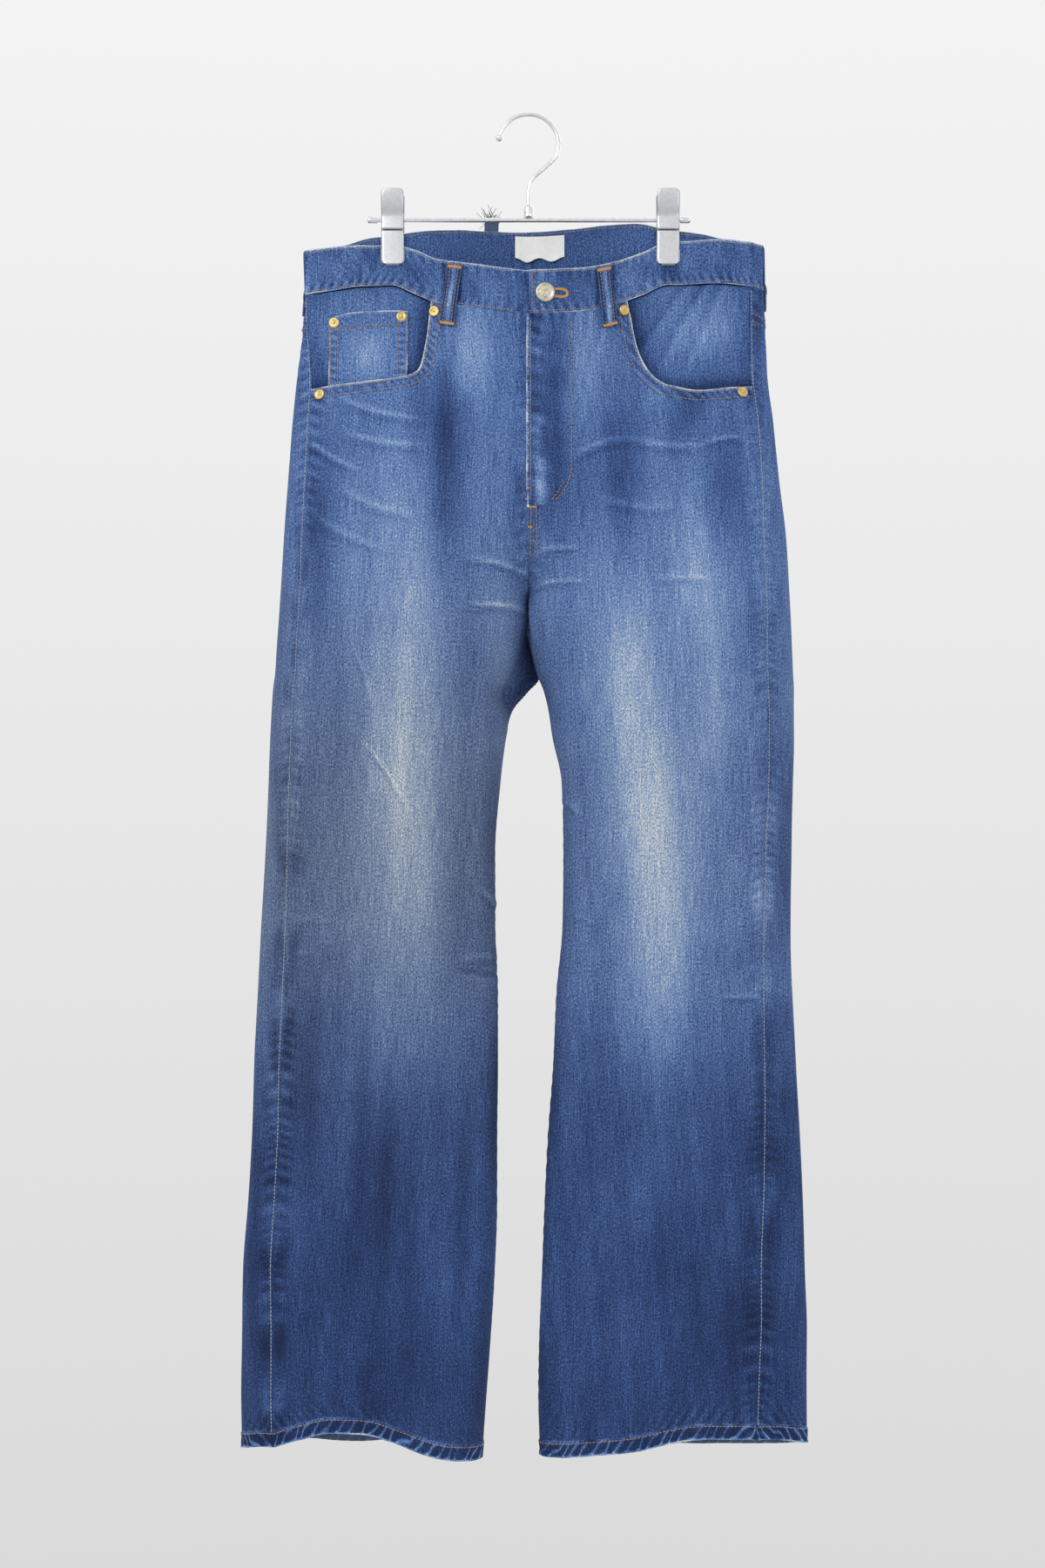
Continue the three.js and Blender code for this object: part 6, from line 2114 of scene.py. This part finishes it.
def smooth_path(points, count):
    """A cubic path through points (a natural parameter of chord length to the half power)."""
    points = np.array(points, dtype=float)
    step = np.sqrt(np.linalg.norm(np.diff(points, axis=0), axis=1))
    knots = np.concatenate([[0], np.cumsum(step)])
    ends = 2 * points[0] - points[1], 2 * points[-1] - points[-2]
    points = np.vstack([ends[0], points, ends[1]])
    knots = np.concatenate([[-step[0]], knots, [knots[-1] + step[-1]]])
    slope = (points[2:] - points[:-2]) / (knots[2:] - knots[:-2])[:, None]
    points, knots = points[1:-1], knots[1:-1]
    at = np.linspace(knots[0], knots[-1], count)
    i = np.clip(np.searchsorted(knots, at, side="right") - 1, 0, len(knots) - 2)
    width = (knots[i + 1] - knots[i])[:, None]
    t = (at - knots[i])[:, None] / width
    rise = t * t * (3 - 2 * t)
    bend = width * (slope[i] * t * (1 - t) ** 2 + slope[i + 1] * t * t * (t - 1))
    return points[i] * (1 - rise) + points[i + 1] * rise + bend


def hook_piece():
    """The hook's wire from its ball tip over the top and down to the ferrule."""
    centre_z = WIRE_RADIUS - HOOK_RADIUS
    turn = np.radians(np.arange(HOOK_TIP_ANGLE, -1, -12))
    arc = np.stack([np.cos(turn), 0 * turn, np.sin(turn)], axis=1) * HOOK_RADIUS
    arc[:, 2] += centre_z
    stem = [(x, 0, centre_z + z) for x, z in HOOK_STEM]
    path = smooth_path([*arc, *stem, (0, 0, FERRULE_LOW + FERRULE_TALL - 0.5)], 220)
    points, quads, caps = tube(path, WIRE_RADIUS, 20)
    turn = np.linspace(0.02, np.pi - 0.02, 20)
    profile = np.stack([BALL_RADIUS * np.sin(turn), -BALL_RADIUS * np.cos(turn)], axis=1)
    ball = turned("hook_ball", profile, path[0], (0, 0, 1), CHROME, 32)
    return mesh_object("hook_wire", points, quads, CHROME, caps=caps), ball


hook, hook_ball = hook_piece()
fit(hook, "hanger_hook")
fit(hook_ball)
print("hook:", len(hook.data.polygons), "faces")

# %% [markdown]
# ## Clips
# Both jaws of a clip are one curved face at two depths, mirrored front to back. JAW gives how
# far the face stands from the cloth's middle plane at each height.

# %% Clips
JAW_WALL = 1.5
JAW_HALF = 10.0
JAW_GRIP_Z = -98
BACK_JAW_SHARE = 0.83
JAW = columns(
    "z stand half",
    [
        [-65.5, 8.6, 8], [-67.5, 8.5, 9.6], [-72, 8, 10], [-82, 5.6, 10], [-88.5, 2.5, 10],
        [-94.5, 2.6, 10], [-98, 3.4, 10], [-112, 3.4, 10], [-118, 3.3, 10], [-129, 3.3, 9.6],
        [-131.5, 4, 8],
    ],
)
CLIP_PLACES = {"right": -120.1, "left": 123.2}
NOTCH_Z = -101
NOTCH_SHARE = (NOTCH_Z - JAW["z"][0]) / (JAW["z"][-1] - JAW["z"][0])
NOTCH_DEPTH = 1.3
NOTCH_HALF = 0.8
CORNER = 4.5
PAD_COLOR = (0.50, 0.52, 0.56)


def jaw_surface(x, towards, u, v, extra):
    """A jaw's face: u down its length, v across it. Its corners are quarter circles."""
    z = mix(JAW["z"][0], JAW["z"][-1], u)
    stand = curve(JAW["z"], JAW["stand"], z)
    to_end = np.minimum(z - JAW["z"][-1], JAW["z"][0] - z)
    corner = np.clip(CORNER - to_end, 0, CORNER)
    half = JAW_HALF - (CORNER - np.sqrt(np.maximum(0, CORNER**2 - corner**2)))
    edge = (1 - np.abs(v)) * half
    rolled = 0.9 * bell(edge / 0.8)
    notch = NOTCH_DEPTH * bell((z - NOTCH_Z) / NOTCH_HALF) * (extra > 0.5)
    crown = 0.25 * (1 - v * v)
    y = towards * (stand + extra - (rolled + notch) * (extra > 0.5) + crown * (extra > 0.5))
    height = z - np.minimum(0, z - JAW_GRIP_Z) * (1 - BACK_JAW_SHARE) if towards > 0 else z
    return np.stack([x + v * half, y + 0 * v, height + 0 * v], axis=-1)


def plate(name, x, towards, u, v, low, high, material):
    """A closed plate between two layers of a jaw's face."""
    points = np.stack([jaw_surface(x, towards, u, v, high), jaw_surface(x, towards, u, v, low)])
    quads = turned_out(points, shell_quads(*points.shape[1:3]))
    z = mix(JAW["z"][0], JAW["z"][-1], u) + 0 * v
    to_edge = np.minimum((1 - np.abs(v)) * JAW_HALF, z - JAW["z"][-1])
    # The groove attribute darkens the plate: the notch, and painted shade along the rims and on the
    # whole underside layer (0.5).
    groove = 0.85 * bell((z - NOTCH_Z) / NOTCH_HALF) + 0.6 * bell(to_edge / 0.5)
    fields = {"groove": np.stack([groove, 0.5 + 0 * groove])}
    return mesh_object(name, points, quads, material, None, fields)


def pad_material():
    """The soft translucent pad behind a jaw's lip."""
    made, tree, shader = new_material("clip_pad", Roughness=0.35, IOR=1.45)
    place = Wire.add(tree, "TexCoord", "Object", {})
    cloud = noise(tree, place, (2, 2, 2))
    color = blended(tree, cloud, opaque(PAD_COLOR), opaque(PAD_COLOR, 0.6))
    surface(shader, color, 0.3 + cloud * 0.2)
    return made


PAD = pad_material()
for name, x in CLIP_PLACES.items():
    for face, towards in (("front", -1), ("back", 1)):
        rows = 0.5 - 0.5 * np.cos(np.pi * np.linspace(0, 1, 47))
        rows = np.sort(np.concatenate([rows, NOTCH_SHARE + np.linspace(-0.03, 0.03, 13)]))[:, None]
        across = np.sin(np.pi * (np.linspace(0, 1, 29)[None, :] - 0.5))
        jaw = plate(f"clip_plate_{name}_{face}", x, towards, rows, across, 0.35, JAW_WALL, SATIN)
        fit(jaw, f"clip_{name}_{face}")
        u = np.linspace(0.80, 1.012, 20)[:, None]
        pad = plate(f"clip_pad_{name}_{face}", x, towards, u, across * 1.05, -0.1, 0.3, PAD)
        fit(pad)
print("clips:", len(CLIP_PLACES))

# %% [markdown]
# ## Label and loose threads
# The woven label inside the back of the waistband is left bare. The wearer's back right loop
# stands a little proud of the band, and its worn end has frayed.

# %% Label
LABEL_WHITE = (0.98, 0.98, 0.97)
LABEL = {"x": 10, "width": 44, "top_z": -98.5, "low_z": -120, "wave": 1.8, "wall": 0.5}


def cloth_material(name, color):
    """Plain woven cloth: a fine crossing weave in its bump and a faint mottle."""
    made, tree, shader = new_material(name, Sheen_Weight=0.1)
    place = Wire.add(tree, "UVMap", "UV", {}, uv_map="cloth")
    turn = 2 * math.pi / (0.5 * MM)
    warp = (Wire.add(tree, "SeparateXYZ", "X", {"Vector": place}) * turn).sine()
    weft = (Wire.add(tree, "SeparateXYZ", "Y", {"Vector": place}) * turn).sine()
    mottle = noise(tree, place, (5, 5, 1))
    tone = blended(tree, mottle, opaque(color), opaque(color, 0.85))
    surface(shader, tone, 0.75 + mottle * 0.2, warp * weft, 0.4, 0.15)
    return made


def label_piece():
    """The label: a thin shell inside the back band, its lower edge waved and standing off."""
    r, c = patch(24, 48)
    x = LABEL["x"] + (c - 0.5) * LABEL["width"] + 0 * r
    low = LABEL["low_z"] + LABEL["wave"] * np.cos(4 * np.pi * c)
    height = mix(LABEL["top_z"], low, r)
    stand = -(BAND_WALL - BAND_OUT + 0.5 + 1.6 * r**2 * (1 + 0.5 * np.cos(5 * np.pi * c)))
    layers = []
    for lift in (stand, stand - LABEL["wall"]):
        sides = []
        for side in (RIGHT, LEFT):
            q, z = locate(side, BACK, np.where(side * x > 0.3, x, side * 0.3), height)
            sides.append(skin(side, BACK, q, z) + outward(side, BACK, q, z) * lift[..., None])
        point = np.where((x < 0)[..., None], *sides)
        point[..., 0] = x
        layers.append(point)
    uv = np.stack([x, height], axis=-1)
    return shell("label_cloth", *layers, uv, 0 * x, cloth_material("label_cloth", LABEL_WHITE))


label = fit(label_piece(), "label")
print("label:", len(label.data.polygons), "faces")

# %% [markdown]
# ## Frayed threads
# Each loose end is a thin tube that starts on the loop and curls away from it.

# %% Frayed threads
FRAY_COUNT = 70
FRAY_LENGTH = 9
FRAY_RADIUS = 0.24


def fray(name, middles, outs, seed, reach, material):
    """Loose thread ends: thin closed tubes that start on the cloth and curl away."""
    rng = np.random.default_rng(seed)
    points, quads, caps, start = [], [], [], 0
    for middle, out in zip(middles, outs):
        heading = unit(out + rng.normal(0, 0.55, 3))
        bend = rng.normal(0, 0.5, 3)
        t = np.linspace(0, 1, 9)[:, None]
        length = reach * rng.uniform(0.4, 1)
        path = middle + heading * t * length + bend * t * t * length
        made, faces, ends = tube(path, FRAY_RADIUS, 5)
        points.append(made)
        quads.append(faces + start)
        caps += [end + start for end in ends]
        start += len(made)
    points, quads = np.concatenate(points), np.concatenate(quads)
    fit(mesh_object(name, points, quads, material, sharp=None, caps=caps))


rng = np.random.default_rng(5)
down, across = rng.uniform(0.0, 0.1, FRAY_COUNT), rng.uniform(0, 1, FRAY_COUNT)
points, out = loop_surface("back_right", down, across, 0.8)
rise = unit(out * 0.4 + np.array([0.0, -0.3, 1.0]))
DARK_THREAD = thread_material("frayed_indigo", (0.030, 0.040, 0.075), (0.10, 0.14, 0.24))
fray("loop_fray_blue", points[::2], rise[::2], 21, FRAY_LENGTH, DARK_THREAD)
fray("loop_fray_brown", points[1::2], rise[1::2], 22, 0.8 * FRAY_LENGTH, THREAD)
print("frayed threads:", FRAY_COUNT)

# %% [markdown]
# ## What each cloth was cut to
# Every piece of cloth has a row with the flat size, in metres, of the part that shows, its area
# where its outline is not a rectangle, and what it hangs from: the panels from the waistband,
# and the waistband from the clips' jaws. Half each shell's area is printed beside its flat size.

# %% Sheets
WAIST = ["waistband_cloth"]
LOOP_LENGTHS = {"front_right": 0.058, "front_left": 0.058, "side_right": 0.060,
                "side_left": 0.060, "back_right": 0.073, "back_left": 0.060}
CUTS = {
    "front_panel_right": (0.256, 1.025, 0.209, WAIST),
    "front_panel_left": (0.265, 1.025, 0.206, WAIST),
    "yoke_panel_right": (0.232, 0.076, 0.0122, WAIST),
    "yoke_panel_left": (0.244, 0.076, 0.0133, WAIST),
    "back_panel_right": (0.325, 0.993, 0.275, ["yoke_panel_right"]),
    "back_panel_left": (0.330, 0.993, 0.280, ["yoke_panel_left"]),
    "pocket_facing_cloth_right": (0.131, 0.106, None, WAIST),
    "pocket_facing_cloth_left": (0.130, 0.106, None, WAIST),
    "coin_pocket_cloth": (0.069, 0.074, None, ["pocket_facing_cloth_right"]),
    "back_pocket_cloth_right": (0.152, 0.161, 0.0223, ["back_panel_right"]),
    "back_pocket_cloth_left": (0.152, 0.161, 0.0223, ["back_panel_left"]),
    "fly_cloth": (0.042, 0.187, 0.0072, ["front_panel_left"]),
    "waistband_cloth": (0.871, 0.039, None, ["clip_plate_right_front", "clip_plate_left_front"]),
    **{"loop_cloth_" + name: (0.013, long, None, WAIST) for name, long in LOOP_LENGTHS.items()},
    "label_cloth": (0.044, 0.023, None, WAIST),
}
# What is sewn on a piece or folded along it: the first words of those objects' names.
TRIMS = {
    "front_panel_": ("mouth_fold_", "mouth_stitches_"),
    "back_panel_": ("outseam_stitches_", "inseam_stitches_", "hem_stitches_", "hem_fold_"),
    "yoke_panel_": ("yoke_stitches_",),
    "back_pocket_cloth_": ("pocket_fold_", "pocket_stitches_"),
    "coin_pocket_cloth": ("coin_fold_", "coin_stitches"),
    "fly_cloth": ("fly_fold", "fly_stitches", "fly_tacks"),
    "waistband_cloth": ("band_fold_", "band_stitches", "loop_stitches", "loop_tacks"),
    "loop_cloth_back_right": ("loop_fray_",),
}


def trims_of(name):
    """The sewn and folded pieces of a sheet, by the first words and the side of their names."""
    found = []
    for sheet, starts in TRIMS.items():
        if name.startswith(sheet):
            side = name[len(sheet):]
            for piece in bpy.data.objects:
                if piece.name.startswith(starts) and side in piece.name:
                    found.append(piece)
    return found


for name, (width, length, area, above) in CUTS.items():
    piece = bpy.data.objects[name]
    faces = np.empty(len(piece.data.polygons))
    piece.data.polygons.foreach_get("area", faces)
    print(name, "outer layer", round(faces.sum() / 2, 4), "flat", round(width * length, 4))
    trims_of(name)
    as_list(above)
print("sheets:", len(CUTS))
